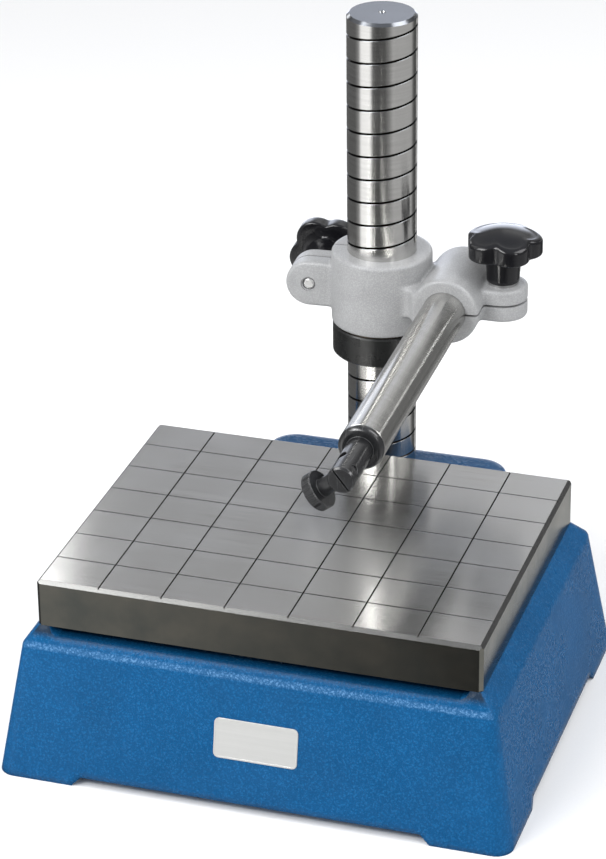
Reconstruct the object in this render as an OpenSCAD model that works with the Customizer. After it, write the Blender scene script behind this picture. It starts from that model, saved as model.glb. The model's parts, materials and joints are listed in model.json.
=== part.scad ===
// Comparator stand: a ground and scribed measuring plate on a cast base, with a spirally
// grooved column, a height ring nut, a double clamp and a round arm with an indicator holder.
// Millimetres, +Z up. The origin is the centre of the base's footprint, on the bench.
// The arm points to -Y, over the plate.

/* [Table plate] */
// Width of the measuring plate, left to right
plate_width = 300; // [240:5:400]
// Depth of the plate, front to back
plate_depth = 236; // [190:2:320]
// Thickness of the plate
plate_thickness = 33; // [24:1:50]
// Bevel along the plate's upper edges and upright corners
plate_bevel = 2.4; // [0.6:0.1:5]
// Cells of the scribed grid in each direction
grid_cells = 7; // [3:2:11]
// Width of a scribed line
line_width = 0.9; // [0.4:0.1:2]
// Depth of a scribed line
line_depth = 0.6; // [0.3:0.1:1.5]

/* [Base casting] */
// Height of the measuring face above the bench
table_height = 138; // [120:1:180]
// Depth of the recess that leaves a gap under the plate
seat_recess = 6; // [3:0.5:9]
// Width of the two side rails that carry the plate
rail_width = 8; // [5:0.5:20]
// Drop from the plate's seat to the crest of the walls
shoulder_drop = 11.7; // [8:0.1:16]
// How far the crest stands outside the plate at each side
side_shoulder = 9; // [5:0.5:20]
// How far the crest stands in front of the plate
front_shoulder = 5.3; // [4:0.1:20]
// How far the crest stands behind the plate
back_shoulder = 12.4; // [5:0.1:20]
// Lean of the side walls and of the lug from upright, in degrees
side_lean = 10; // [4:0.5:16]
// Lean of the front and back walls from upright, in degrees
end_lean = 11; // [4:0.5:16]
// Thickness of the casting's walls
casting_wall = 9; // [6:0.5:14]
// Thickness of the deck under the plate
deck_thickness = 12; // [8:0.5:18]
// Radius of the upright corners at the foot
corner_radius = 12; // [8:0.5:20]
// Radius of the rounded crest
crest_radius = 6; // [3:0.5:9]
// Length of the corner feet along the front
front_foot = 53; // [30:1:80]
// Length of the corner feet along the sides
side_foot = 59; // [30:1:80]
// Length of the lug's two feet
lug_foot = 40; // [20:1:60]
// Height of the relief between the feet
foot_relief = 6.5; // [3:0.5:12]
// Height of the stiffening ribs under the deck
rib_height = 20; // [10:1:30]
// Thickness of the stiffening ribs
rib_thickness = 7; // [5:0.5:12]

/* [Column lug] */
// How far the lug's top reaches behind the plate
lug_reach = 80; // [78:1:110]
// Width of the lug at its top
lug_width = 176; // [120:2:220]
// Radius of the lug's rear corners
lug_corner = 20; // [12:1:36]
// How far the lug's top lies below the measuring face
lug_drop = 35; // [34:0.5:44]
// Rounding of the lug's top edge
lug_edge = 4; // [1:0.5:8]
// Diameter of the boss inside the lug that takes the column's bolt
bolt_boss_diameter = 60; // [44:1:80]
// Height of that boss
bolt_boss_height = 42; // [24:1:60]

/* [Column] */
// Diameter of the column
column_diameter = 48; // [36:1:56]
// Length of the column above its foot ring
column_length = 324; // [280:2:420]
// Distance from the plate's back edge to the column's axis
column_setback = 49.2; // [45:0.2:52]
// Height of the machined ring under the column
foot_ring_height = 15.4; // [8:0.2:24]
// Bevel at the column's top edge
column_bevel = 2; // [0.5:0.1:4]
// Bevel at the column's foot and at the ring
foot_bevel = 0.8; // [0.3:0.1:2]
// Rise of the spiral groove in one turn
groove_pitch = 16.75; // [12:0.25:24]
// Width of the groove
groove_width = 1.4; // [0.8:0.1:3]
// Depth of the groove
groove_depth = 1.2; // [0.6:0.1:2.5]
// Angle about the column at which the groove starts, in degrees
groove_start = 32; // [0:1:359]
// Diameter of the centre hole in the column's top
centre_hole_diameter = 5; // [2:0.5:10]

/* [Ring nut] */
// Outer diameter of the ring nut
nut_diameter = 68.6; // [60:0.2:84]
// Height of the ring nut
nut_height = 21.5; // [14:0.5:30]
// Bevel at the nut's edges
nut_bevel = 1; // [0.4:0.1:3]
// Thickness of the thrust washer between the nut and the clamp
thrust_thickness = 1; // [0.6:0.1:3]
// Diameter of the nut's guide screw
guide_screw_diameter = 5; // [4:0.5:8]
// Diameter of the nib that runs in the groove
guide_nib_diameter = 0.8; // [0.5:0.1:1]

/* [Clamp body] */
// Height of the clamp's middle above the measuring face
clamp_height = 106; // [80:1:240]
// Angle that the clamp is swung about the column, in degrees
clamp_turn = 1; // [0:0.5:20]
// Outer diameter of the boss round the column
column_boss_diameter = 70; // [64:1:84]
// Height of that boss
column_boss_height = 53; // [40:1:70]
// Reach of the column ears' screw from the column's axis
column_ear_reach = 49.5; // [48:0.5:60]
// Radius of the column ears' round ends
column_ear_radius = 16.4; // [12:0.2:20]
// Thickness across both column ears
column_ear_thickness = 25; // [18:0.5:32]
// Angle that the column ears are turned to the front, in degrees
column_ear_turn = 3; // [0:0.5:12]
// Distance from the column's axis to the arm's axis
arm_offset = 53.6; // [51:0.2:64]
// Outer diameter of the boss round the arm
arm_boss_diameter = 46.8; // [42:0.2:60]
// Reach of the arm boss in front of the column's axis
arm_boss_front = 36; // [28:1:46]
// Reach of the arm boss behind the column's axis
arm_boss_back = 27; // [20:1:36]
// Distance from the arm's axis to the arm ears' screw
arm_ear_reach = 32.4; // [32:0.2:42]
// Radius of the arm ears' round ends
arm_ear_radius = 17.2; // [13:0.2:22]
// Thickness of the upper arm ear
upper_ear_thickness = 10.4; // [8:0.2:16]
// Thickness of the lower arm ear
lower_ear_thickness = 11.2; // [8:0.2:14]
// Height of the web that joins the two bosses
web_height = 21; // [12:1:36]
// Width of the two clamping slits
slit_width = 1.6; // [1:0.1:3]
// Radius of the casting's inner fillets
clamp_fillet = 7; // [3:0.5:9]
// Rounding of the casting's outer edges
clamp_edge = 1.8; // [0.6:0.1:3]

/* [Arm] */
// Diameter of the arm
arm_diameter = 30; // [24:1:34]
// Reach of the arm's front end from the column's axis
arm_reach = 241.5; // [180:0.5:300]
// Reach of the arm's rear end behind the column's axis
arm_tail = 40.5; // [30:0.5:70]
// Bevel at the arm's ends
arm_bevel = 0.8; // [0.3:0.1:2]
// Diameter of the holder's spigot in the arm
spigot_diameter = 18; // [12:0.5:22]
// Length of the spigot
spigot_length = 26; // [14:1:40]
// Diameter of the set screw that keeps the spigot in
set_screw_diameter = 4; // [3:0.5:6]

/* [Indicator holder] */
// Length of the holder's flange, with its rounded shoulder
flange_length = 5; // [4:0.5:16]
// Rounding of the flange's front edge
flange_rounding = 3.5; // [1:0.5:3.5]
// Diameter of the holder's nose
nose_diameter = 18; // [16:0.5:24]
// Length of the nose in front of the flange
nose_length = 43.5; // [38:0.5:60]
// Bevel at the nose's tip
nose_bevel = 1.2; // [0.4:0.1:2]
// Diameter of the bore that takes an indicator's stem
stem_diameter = 8; // [6:0.5:10]
// Distance from the nose's tip to the stem's axis
stem_setback = 19.5; // [19:0.5:28]
// Distance from the nose's tip to the thumb screw's axis
screw_setback = 7.5; // [6.5:0.5:12]
// Width of the saw cut
saw_cut = 1.2; // [0.6:0.1:2.4]
// Depth of the spot face under the thumb screw's collar
spot_depth = 2.4; // [1.6:0.1:2.5]
// Roll of the holder about the arm, in degrees
holder_roll = 128; // [0:1:359]

/* [Thumb screw] */
// Diameter of the thumb screw's knurled head
thumb_head_diameter = 25.6; // [18:0.2:32]
// Thickness of the knurled head
thumb_head_thickness = 7; // [4:0.5:10]
// Diameter of the collar under the head
thumb_collar_diameter = 12; // [9:0.5:16]
// Length of the collar
thumb_collar_length = 11; // [5:0.5:16]
// Diameter of the thumb screw's shank
thumb_shank_diameter = 6; // [4:0.5:6]
// Number of knurl grooves round the head
knurl_count = 48; // [12:1:60]
// Depth of a knurl groove
knurl_depth = 0.5; // [0.2:0.1:1]

/* [Star knobs] */
// Number of lobes on a star knob
knob_lobes = 5; // [4:1:7]
// Diameter across the lobes' tips
knob_diameter = 53.6; // [44:0.2:64]
// Radius of a lobe's tip
lobe_radius = 13; // [9:0.5:14]
// Radius of the valleys between the lobes
valley_radius = 5; // [3:0.5:8]
// Height of the whole knob
knob_height = 38; // [32:0.5:46]
// Height of the hub under the head
hub_height = 20; // [14:0.5:24]
// Diameter of the hub at its foot
hub_diameter = 22.6; // [18:0.2:28]
// Diameter of the hub under the head
hub_top_diameter = 25.6; // [22:0.2:30]
// Rise of the knob's domed top
dome_height = 7.8; // [4:0.2:9]
// Rounding of the head's lower edge
head_edge = 1.5; // [0.5:0.1:3]
// Turn of the arm knob's lobes, in degrees
arm_knob_turn = 15; // [0:1:359]
// Turn of the column knob's lobes, in degrees
column_knob_turn = 19; // [0:1:359]

/* [Fasteners] */
// Diameter of the clamping studs
stud_diameter = 8; // [6:0.5:10]
// Outer diameter of the threaded insert in a star knob
insert_diameter = 13; // [12:0.5:16]
// Depth of the threaded insert
insert_depth = 16; // [10:0.5:20]
// Outer diameter of the washers under the star knobs
knob_washer_diameter = 21; // [16:0.5:26]
// Thickness of the washer under the arm's star knob
arm_washer_thickness = 1.8; // [1:0.1:3]
// Thickness of the thick washer under the column's star knob
column_washer_thickness = 5.3; // [2:0.1:8]
// Diameter of the screws that hold the plate
plate_screw_diameter = 8; // [6:0.5:10]
// Depth of those screws in the plate
plate_screw_grip = 16; // [10:0.5:20]
// Distance of those screws from the plate's edges
plate_screw_inset = 42; // [30:1:60]
// Diameter of the bolt that holds the column
column_bolt_diameter = 16; // [12:0.5:20]
// Depth of that bolt in the column
column_bolt_grip = 34; // [20:1:50]

/* [Fits] */
// Radial clearance of a running fit
running_fit = 0.05; // [0.02:0.01:0.09]
// Clearance round pieces that are only seated
seating = 0.02; // [0.01:0.01:0.05]
// Radial clearance of a through hole for a screw
screw_clearance = 0.5; // [0.3:0.1:1]
// Gap between pieces that pass each other
passing_gap = 0.4; // [0.3:0.1:1]

/* [Hidden] */

// Share of a knob lobe's radius that the knob's round blank trims off its end
lobe_trim = 0.03;
// Chords in half of a knob's lobe and in half of its valley
lobe_chords = 8;
valley_chords = 3;
// Overrun of every cut past the face that it opens
cut = 1;
// Thickness of the slabs that a hull is stretched over
skin = 0.5;
round_fn = 96;
hull_fn = 32;

// Heights above the bench
seat_z = table_height - plate_thickness;
crest_z = seat_z - shoulder_drop;
deck_top_z = seat_z - seat_recess;
deck_low_z = deck_top_z - deck_thickness;
lug_z = table_height - lug_drop;
column_foot_z = lug_z + foot_ring_height;
column_top_z = column_foot_z + column_length;
clamp_z = table_height + clamp_height;
boss_low_z = clamp_z - column_boss_height / 2;
nut_top_z = boss_low_z - thrust_thickness;
nut_low_z = nut_top_z - nut_height;

// Plan of the base, first from the plate's centre and then from the footprint's centre
side_spread = tan(side_lean);
end_spread = tan(end_lean);
front_foot_run = plate_depth / 2 + front_shoulder + crest_z * end_spread;
back_foot_run = plate_depth / 2 + lug_reach + lug_z * side_spread;
plate_y = (front_foot_run - back_foot_run) / 2;
plate_front_y = plate_y - plate_depth / 2;
plate_back_y = plate_y + plate_depth / 2;
seat_half = plate_width / 2;
crest_half = seat_half + side_shoulder;
foot_half = crest_half + crest_z * side_spread;
front_crest_y = plate_front_y - front_shoulder;
back_crest_y = plate_back_y + back_shoulder;
front_foot_y = plate_y - front_foot_run;
main_foot_y = back_crest_y + crest_z * end_spread;
lug_back_y = plate_back_y + lug_reach;
lug_run = lug_z * side_spread;
lug_half = lug_width / 2;
column_y = plate_back_y + column_setback;

column_radius = column_diameter / 2;
arm_radius = arm_diameter / 2;
arm_length = arm_reach + arm_tail;
nose_radius = nose_diameter / 2;
stud_radius = stud_diameter / 2;
nose_tip = arm_reach + flange_length + nose_length;
half_root = sqrt(0.5);

// A pair of concave corners filled between a round boss and a flat-sided ear that leaves it
// towards +X: boss radius, half the ear's thickness and fillet radius
module ear_fillets(boss, half, fillet) {
    reach = sqrt((boss + fillet) ^ 2 - (half + fillet) ^ 2);
    root = sqrt(boss ^ 2 - half ^ 2);
    touch = boss / (boss + fillet);
    for (side = [-1, 1])
        difference() {
            polygon([
                [root - fillet / 2, 0],
                [touch * reach, side * touch * (half + fillet)],
                [reach, side * (half + fillet)],
                [reach, side * half],
                [reach, 0]
            ]);
            translate([reach, side * (half + fillet)])
                circle(r = fillet, $fn = round_fn);
        }
}

// A disc with bevelled edges, standing on z = 0
module bevelled_disc(radius, height, bevel) {
    rotate_extrude($fn = round_fn)
        polygon([
            [0, 0],
            [radius - bevel, 0],
            [radius, bevel],
            [radius, height - bevel],
            [radius - bevel, height],
            [0, height]
        ]);
}

// Half the section of a round-edged block, from its lower edge up to its upper one
function rim_points(radius, height, edge) = concat(
    [
        for (angle = [0:30:90])
            [radius - edge * (1 - sin(angle)), edge * (1 - cos(angle))]
    ],
    [
        for (angle = [0:30:90])
            [radius - edge * (1 - cos(angle)), height - edge * (1 - sin(angle))]
    ]
);

// A disc with rounded edges, standing on z = 0
module rounded_disc(radius, height, edge) {
    rotate_extrude($fn = round_fn)
        polygon(concat([[0, 0]], rim_points(radius, height, edge), [[0, height]]));
}

// A bar along +X with the same section as the disc, standing on z = 0
module rounded_bar(length, radius, height, edge) {
    points = rim_points(radius, height, edge);
    last = len(points) - 1;
    rotate([90, 0, 90])
        linear_extrude(length)
            polygon(concat(
                points, [for (i = [0:last]) [-points[last - i][0], points[last - i][1]]]
            ));
}

// A flat ring, standing on z = 0
module flat_ring(outer, inner, height) {
    difference() {
        cylinder(r = outer, h = height, $fn = round_fn);
        translate([0, 0, -cut])
            cylinder(r = inner, h = height + 2 * cut, $fn = round_fn);
    }
}

// A socket-head screw: its head's seat is z = 0, the shank points up
module socket_screw(diameter, length) {
    head = 1.5 * diameter;
    socket = 0.8 * diameter;
    bevel = 0.08 * diameter;
    difference() {
        union() {
            translate([0, 0, -diameter])
                bevelled_disc(head / 2, diameter, bevel);
            translate([0, 0, -bevel])
                bevelled_disc(diameter / 2, length + bevel, bevel);
        }
        translate([0, 0, -diameter - cut])
            cylinder(d = socket, h = diameter / 2 + cut, $fn = 6);
    }
}

// Four upright posts at the corners of a rounded oblong
module corner_posts(half, front, back, z, radius, height) {
    for (side = [-1, 1])
        for (y = [front + radius, back - radius])
            translate([side * (half - radius), y, z])
                cylinder(r = radius, h = height, $fn = hull_fn);
}

module base_casting() {
    color("steelblue")
        difference() {
            union() {
                base_shell();
                lug_shell();
            }
            base_hollow();
            lug_hollow();
            seat_cut();
            foot_reliefs();
            plate_screw_holes();
            translate([0, column_y, lug_z - bolt_boss_height - cut])
                cylinder(
                    r = column_bolt_diameter / 2 + screw_clearance,
                    h = bolt_boss_height + 2 * cut, $fn = round_fn
                );
        }
}

// The leaning walls, the rounded crest and the shoulder up to the plate's seat
module base_shell() {
    inset = crest_radius * (1 - half_root);
    hull() {
        corner_posts(foot_half, front_foot_y, main_foot_y, 0, corner_radius, skin);
        for (side = [-1, 1])
            for (y = [front_crest_y - inset + crest_radius, back_crest_y + inset - crest_radius])
                translate([
                    side * (crest_half + inset - crest_radius), y,
                    crest_z + inset - crest_radius
                ])
                    sphere(r = crest_radius, $fn = hull_fn);
        corner_posts(
            seat_half, plate_front_y, plate_back_y, seat_z - skin, plate_bevel, skin
        );
    }
}

// The lug behind the plate, with a rounded top edge and the same lean
module lug_shell() {
    hull() {
        corner_posts(
            lug_half + lug_run, plate_y, lug_back_y + lug_run, 0, lug_corner, skin
        );
        for (angle = [0:30:90])
            corner_posts(
                lug_half - lug_edge * (1 - cos(angle)), plate_y,
                lug_back_y - lug_edge * (1 - cos(angle)),
                lug_z - lug_edge * (1 - sin(angle)) - skin,
                lug_corner - lug_edge * (1 - cos(angle)), skin
            );
    }
}

// The hollow under the deck, with the ribs left standing
module base_hollow() {
    rise = crest_z - deck_low_z;
    top_half = crest_half + rise * side_spread - casting_wall;
    top_front = front_crest_y - rise * end_spread + casting_wall;
    top_back = back_crest_y + rise * end_spread - casting_wall;
    depth = main_foot_y - front_foot_y;
    difference() {
        hull() {
            corner_posts(
                foot_half - casting_wall, front_foot_y + casting_wall,
                main_foot_y - casting_wall, -cut, corner_radius, skin
            );
            corner_posts(top_half, top_front, top_back, deck_low_z - skin, crest_radius, skin);
        }
        for (x = [-plate_width / 4, plate_width / 4])
            translate([x - rib_thickness / 2, front_foot_y, deck_low_z - rib_height])
                cube([rib_thickness, depth, rib_height + cut]);
        translate([-foot_half, plate_y - rib_thickness / 2, deck_low_z - rib_height])
            cube([2 * foot_half, rib_thickness, rib_height + cut]);
    }
}

// The hollow in the lug, open to the main one below the back rib
module lug_hollow() {
    half = lug_half - casting_wall;
    back = lug_back_y - casting_wall;
    corner = lug_corner - casting_wall;
    rib_y = back_crest_y - casting_wall;
    difference() {
        hull() {
            corner_posts(half + lug_run, plate_y, back + lug_run, -cut, corner, skin);
            corner_posts(half, plate_y, back, deck_low_z - skin, corner, skin);
        }
        translate([-foot_half, front_foot_y, deck_low_z - rib_height])
            cube([2 * foot_half, rib_y - front_foot_y, rib_height + cut]);
        translate([0, column_y, lug_z - bolt_boss_height])
            cylinder(d = bolt_boss_diameter, h = bolt_boss_height + cut, $fn = round_fn);
    }
}

// The recess between the two rails, with the four pads round the plate's screws left standing
module seat_cut() {
    half = plate_width / 2 - rail_width;
    pad = 1.6 * plate_screw_diameter;
    length = plate_depth + front_shoulder + back_shoulder + 2 * cut;
    difference() {
        translate([0, plate_front_y - front_shoulder - cut + length, deck_top_z])
            rotate([90, 0, 0])
                linear_extrude(length)
                    polygon([
                        [seat_recess - half, 0],
                        [half - seat_recess, 0],
                        [half - seat_recess / 3, seat_recess / 3],
                        [half, seat_recess],
                        [half, seat_recess + cut],
                        [-half, seat_recess + cut],
                        [-half, seat_recess],
                        [seat_recess / 3 - half, seat_recess / 3]
                    ]);
        at_plate_screws()
            translate([0, 0, deck_top_z - cut])
                cylinder(r = pad, h = seat_recess + 2 * cut, $fn = round_fn);
    }
}

// The low cuts in the rim that leave a foot at each corner of the body and of the lug
module foot_reliefs() {
    side_span = main_foot_y - front_foot_y - 2 * side_foot;
    half = foot_half - front_foot;
    lug_foot_y = lug_back_y + lug_run;
    translate([0, front_foot_y, 0])
        rim_relief(2 * half);
    for (side = [-1, 1])
        translate([side * foot_half, front_foot_y + side_foot + side_span / 2, 0])
            rotate([0, 0, side * 90])
                rim_relief(side_span);
    translate([0, 0, -cut])
        linear_extrude(foot_relief + cut)
            polygon([
                [-half, main_foot_y - 2 * casting_wall],
                [half, main_foot_y - 2 * casting_wall],
                [half, lug_foot_y - lug_foot],
                [lug_half + lug_run - lug_foot, lug_foot_y - lug_foot],
                [lug_half + lug_run - lug_foot, lug_foot_y + cut],
                [lug_foot - lug_half - lug_run, lug_foot_y + cut],
                [lug_foot - lug_half - lug_run, lug_foot_y - lug_foot],
                [-half, lug_foot_y - lug_foot]
            ]);
}

// One relief: a flat slot with slanted ends, cut inwards to +Y through the wall
module rim_relief(span) {
    half = span / 2;
    translate([0, 2 * casting_wall, 0])
        rotate([90, 0, 0])
            linear_extrude(2 * casting_wall + cut)
                polygon([
                    [-half, -cut],
                    [half, -cut],
                    [half, 0],
                    [half - foot_relief, foot_relief],
                    [foot_relief - half, foot_relief],
                    [-half, 0]
                ]);
}

module at_plate_screws() {
    for (side = [-1, 1])
        for (end = [-1, 1])
            translate([
                side * (plate_width / 2 - plate_screw_inset),
                plate_y + end * (plate_depth / 2 - plate_screw_inset), 0
            ])
                children();
}

module plate_screw_holes() {
    at_plate_screws()
        translate([0, 0, deck_low_z - rib_height - cut])
            cylinder(
                r = plate_screw_diameter / 2 + screw_clearance,
                h = deck_thickness + seat_recess + rib_height + 2 * cut, $fn = round_fn
            );
}

module table_plate() {
    cell_x = plate_width / grid_cells;
    cell_y = plate_depth / grid_cells;
    color("silver")
        translate([0, plate_y, seat_z])
            difference() {
                plate_block();
                for (i = [1:grid_cells - 1]) {
                    translate([
                        i * cell_x - plate_width / 2 - line_width / 2, -plate_depth / 2 - cut,
                        plate_thickness - line_depth
                    ])
                        cube([line_width, plate_depth + 2 * cut, line_depth + cut]);
                    translate([
                        -plate_width / 2 - cut, i * cell_y - plate_depth / 2 - line_width / 2,
                        plate_thickness - line_depth
                    ])
                        cube([plate_width + 2 * cut, line_width, line_depth + cut]);
                }
                translate([0, -plate_y, 0])
                    at_plate_screws()
                        translate([0, 0, -cut])
                            cylinder(
                                r = plate_screw_diameter / 2 + seating,
                                h = plate_screw_grip + 2 * cut, $fn = round_fn
                            );
            }
}

// The plate's block: bevelled upright corners, cut by two ridge-shaped prisms for the top bevel
module plate_block() {
    half_x = plate_width / 2;
    half_y = plate_depth / 2;
    intersection() {
        linear_extrude(plate_thickness)
            bevelled_outline(half_x, half_y, plate_bevel);
        rotate([90, 0, 0])
            translate([0, 0, -half_y])
                linear_extrude(plate_depth)
                    top_bevelled_outline(half_x);
        rotate([90, 0, 90])
            translate([0, 0, -half_x])
                linear_extrude(plate_width)
                    top_bevelled_outline(half_y);
    }
}

module bevelled_outline(half_x, half_y, bevel) {
    polygon([
        [-half_x + bevel, -half_y], [half_x - bevel, -half_y],
        [half_x, -half_y + bevel], [half_x, half_y - bevel],
        [half_x - bevel, half_y], [-half_x + bevel, half_y],
        [-half_x, half_y - bevel], [-half_x, -half_y + bevel]
    ]);
}

module top_bevelled_outline(half) {
    polygon([
        [-half, 0], [half, 0],
        [half, plate_thickness - plate_bevel], [half - plate_bevel, plate_thickness],
        [-half + plate_bevel, plate_thickness], [-half, plate_thickness - plate_bevel]
    ]);
}

module plate_screws() {
    length = deck_thickness + seat_recess + plate_screw_grip;
    color("dimgray")
        at_plate_screws()
            translate([0, 0, deck_low_z - washer_thickness(plate_screw_diameter)])
                socket_screw(plate_screw_diameter, length);
}

module plate_screw_washers() {
    height = washer_thickness(plate_screw_diameter);
    color("silver")
        at_plate_screws()
            translate([0, 0, deck_low_z - height])
                screw_washer(plate_screw_diameter);
}

function washer_thickness(diameter) = 0.2 * diameter;

module screw_washer(diameter) {
    flat_ring(diameter, diameter / 2 + screw_clearance / 2, washer_thickness(diameter));
}

module column_foot_ring() {
    color("lightgray")
        translate([0, column_y, lug_z])
            difference() {
                bevelled_disc(column_radius, foot_ring_height, foot_bevel);
                translate([0, 0, -cut])
                    cylinder(
                        r = column_bolt_diameter / 2 + screw_clearance,
                        h = foot_ring_height + 2 * cut, $fn = round_fn
                    );
            }
}

module column() {
    color("gainsboro")
        translate([0, column_y, column_foot_z])
            difference() {
                column_blank();
                spiral_groove();
                translate([0, 0, -cut])
                    cylinder(
                        r = column_bolt_diameter / 2 + seating,
                        h = column_bolt_grip + 2 * cut, $fn = round_fn
                    );
                translate([0, 0, column_length - centre_hole_diameter])
                    cylinder(
                        d1 = 0, d2 = centre_hole_diameter + cut,
                        h = centre_hole_diameter + cut, $fn = round_fn
                    );
            }
}

module column_blank() {
    rotate_extrude($fn = round_fn)
        polygon([
            [0, 0],
            [column_radius - foot_bevel, 0],
            [column_radius, foot_bevel],
            [column_radius, column_length - column_bevel],
            [column_radius - column_bevel, column_length],
            [0, column_length]
        ]);
}

// The right-hand groove is a square tooth swept round the column in steps of one ring each
groove_steps = 24;
groove_turns = floor((column_length + 2 * groove_pitch) / groove_pitch);

function groove_ring(step) =
    let (
        angle = groove_start + 360 * step / groove_steps,
        rise = groove_pitch * (step / groove_steps - 1),
        inner = (column_radius - groove_depth) / cos(90 / groove_steps),
        outer = column_radius + groove_depth
    )
    [
        for (corner = [[inner, -1], [outer, -1], [outer, 1], [inner, 1]])
            [
                corner[0] * cos(angle), corner[0] * sin(angle),
                rise + corner[1] * groove_width / 2
            ]
    ];

module spiral_groove() {
    last = groove_steps * groove_turns;
    points = [for (step = [0:last]) each groove_ring(step)];
    sides = [
        for (step = [0:last - 1], side = [0:3])
            let (a = 4 * step + side, b = 4 * step + (side + 1) % 4)
                each [[a, b, b + 4], [a, b + 4, a + 4]]
    ];
    ends = [[3, 2, 1, 0], [4 * last, 4 * last + 1, 4 * last + 2, 4 * last + 3]];
    polyhedron(points = points, faces = concat(sides, ends), convexity = 10);
}

module column_bolt() {
    seat = lug_z - bolt_boss_height - washer_thickness(column_bolt_diameter);
    color("dimgray")
        translate([0, column_y, seat])
            socket_screw(column_bolt_diameter, column_foot_z + column_bolt_grip - seat);
}

module column_bolt_washer() {
    color("silver")
        translate([
            0, column_y, lug_z - bolt_boss_height - washer_thickness(column_bolt_diameter)
        ])
            screw_washer(column_bolt_diameter);
}

module thrust_washer() {
    color("goldenrod")
        translate([0, column_y, nut_top_z])
            flat_ring(
                nut_diameter / 2 - 2 * nut_bevel, column_radius + running_fit, thrust_thickness
            );
}

module ring_nut() {
    color("#26282a")
        translate([0, column_y, nut_low_z])
            difference() {
                bevelled_disc(nut_diameter / 2, nut_height, nut_bevel);
                translate([0, 0, -cut])
                    cylinder(
                        r = column_radius + passing_gap, h = nut_height + 2 * cut, $fn = round_fn
                    );
                translate([0, 0, guide_z() - nut_low_z])
                    rotate([-90, 0, 0])
                        cylinder(
                            r = guide_screw_diameter / 2 + seating, h = nut_diameter,
                            $fn = round_fn
                        );
            }
}

// Height at which the groove passes the guide screw, nearest to the nut's middle
function guide_z() =
    let (
        middle = nut_low_z + nut_height / 2,
        turn = (90 - groove_start) / 360,
        base = column_foot_z - groove_pitch + groove_pitch * turn
    )
    base + groove_pitch * round((middle - base) / groove_pitch);

module nut_guide_screw() {
    root = column_radius + 2 * passing_gap;
    tip = column_radius - groove_depth + passing_gap;
    sunk = 1.5 * passing_gap;
    color("dimgray")
        translate([0, column_y, guide_z()])
            rotate([-90, 0, 0])
                difference() {
                    union() {
                        translate([0, 0, root])
                            cylinder(
                                d = guide_screw_diameter,
                                h = nut_diameter / 2 - sunk - root, $fn = round_fn
                            );
                        translate([0, 0, tip])
                            cylinder(
                                d = guide_nib_diameter, h = root - tip + passing_gap,
                                $fn = round_fn
                            );
                    }
                    translate([0, 0, nut_diameter / 2 - sunk - guide_screw_diameter / 2])
                        cylinder(
                            d = guide_screw_diameter / 2, h = guide_screw_diameter, $fn = 6
                        );
                }
}

// The clamp's pieces are drawn about the column's axis, at the clamp's mid height
module at_clamp() {
    translate([0, column_y, clamp_z])
        rotate([0, 0, clamp_turn])
            children();
}

module at_column_ears() {
    at_clamp()
        rotate([0, 0, column_ear_turn])
            translate([-column_ear_reach, 0, 0])
                children();
}

module at_arm() {
    at_clamp()
        translate([arm_offset, 0, 0])
            children();
}

module at_arm_ears() {
    at_arm()
        translate([arm_ear_reach, 0, 0])
            children();
}

module clamp_body() {
    color("lightsteelblue")
        difference() {
            union() {
                at_clamp()
                    translate([0, 0, -column_boss_height / 2])
                        rounded_disc(column_boss_diameter / 2, column_boss_height, clamp_edge);
                at_arm()
                    translate([0, arm_boss_back, 0])
                        rotate([90, 0, 0])
                            rounded_disc(
                                arm_boss_diameter / 2, arm_boss_front + arm_boss_back,
                                clamp_edge
                            );
                column_ears();
                arm_ears();
                boss_web();
            }
            clamp_bores();
            clamp_slits();
            ear_holes();
        }
}

// The pair of ears left of the column, as one round-ended block before it is slit
module column_ears() {
    half = column_ear_thickness / 2;
    at_column_ears()
        translate([0, half, 0])
            rotate([90, 0, 0]) {
                rounded_disc(column_ear_radius, column_ear_thickness, clamp_edge);
                rounded_bar(
                    column_ear_reach - column_radius, column_ear_radius, column_ear_thickness,
                    clamp_edge
                );
            }
    at_clamp()
        rotate([0, 0, 180 + column_ear_turn])
            translate([0, 0, clamp_edge - column_ear_radius])
                linear_extrude(2 * (column_ear_radius - clamp_edge))
                    ear_fillets(column_boss_diameter / 2, half, clamp_fillet);
}

// The pair of ears right of the arm, one above the other before they are slit
module arm_ears() {
    low = -lower_ear_thickness - slit_width / 2;
    height = upper_ear_thickness + lower_ear_thickness + slit_width;
    at_arm_ears()
        translate([0, 0, low]) {
            rounded_disc(arm_ear_radius, height, clamp_edge);
            mirror([1, 0, 0])
                rounded_bar(arm_ear_reach - arm_radius, arm_ear_radius, height, clamp_edge);
        }
    at_arm()
        translate([0, arm_ear_radius - clamp_edge, low + height / 2])
            rotate([90, 0, 0])
                linear_extrude(2 * (arm_ear_radius - clamp_edge))
                    ear_fillets(arm_boss_diameter / 2, height / 2, clamp_fillet / 3);
}

// The web that joins the two bosses: a round fillet in front, flush with the arm's boss behind
module boss_web() {
    boss = column_boss_diameter / 2;
    wall = arm_offset - arm_boss_diameter / 2;
    side = sqrt((boss + clamp_fillet) ^ 2 - (wall - clamp_fillet) ^ 2);
    touch = boss / (boss + clamp_fillet);
    at_clamp()
        translate([0, 0, -web_height / 2])
            linear_extrude(web_height)
                difference() {
                    polygon([
                        [0, 0],
                        [touch * (wall - clamp_fillet), -touch * side],
                        [wall - clamp_fillet, -side],
                        [arm_offset, -side],
                        [arm_offset, arm_boss_back - 2 * clamp_edge],
                        [0, arm_boss_back - 2 * clamp_edge]
                    ]);
                    translate([wall - clamp_fillet, -side])
                        circle(r = clamp_fillet, $fn = round_fn);
                }
}

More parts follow.
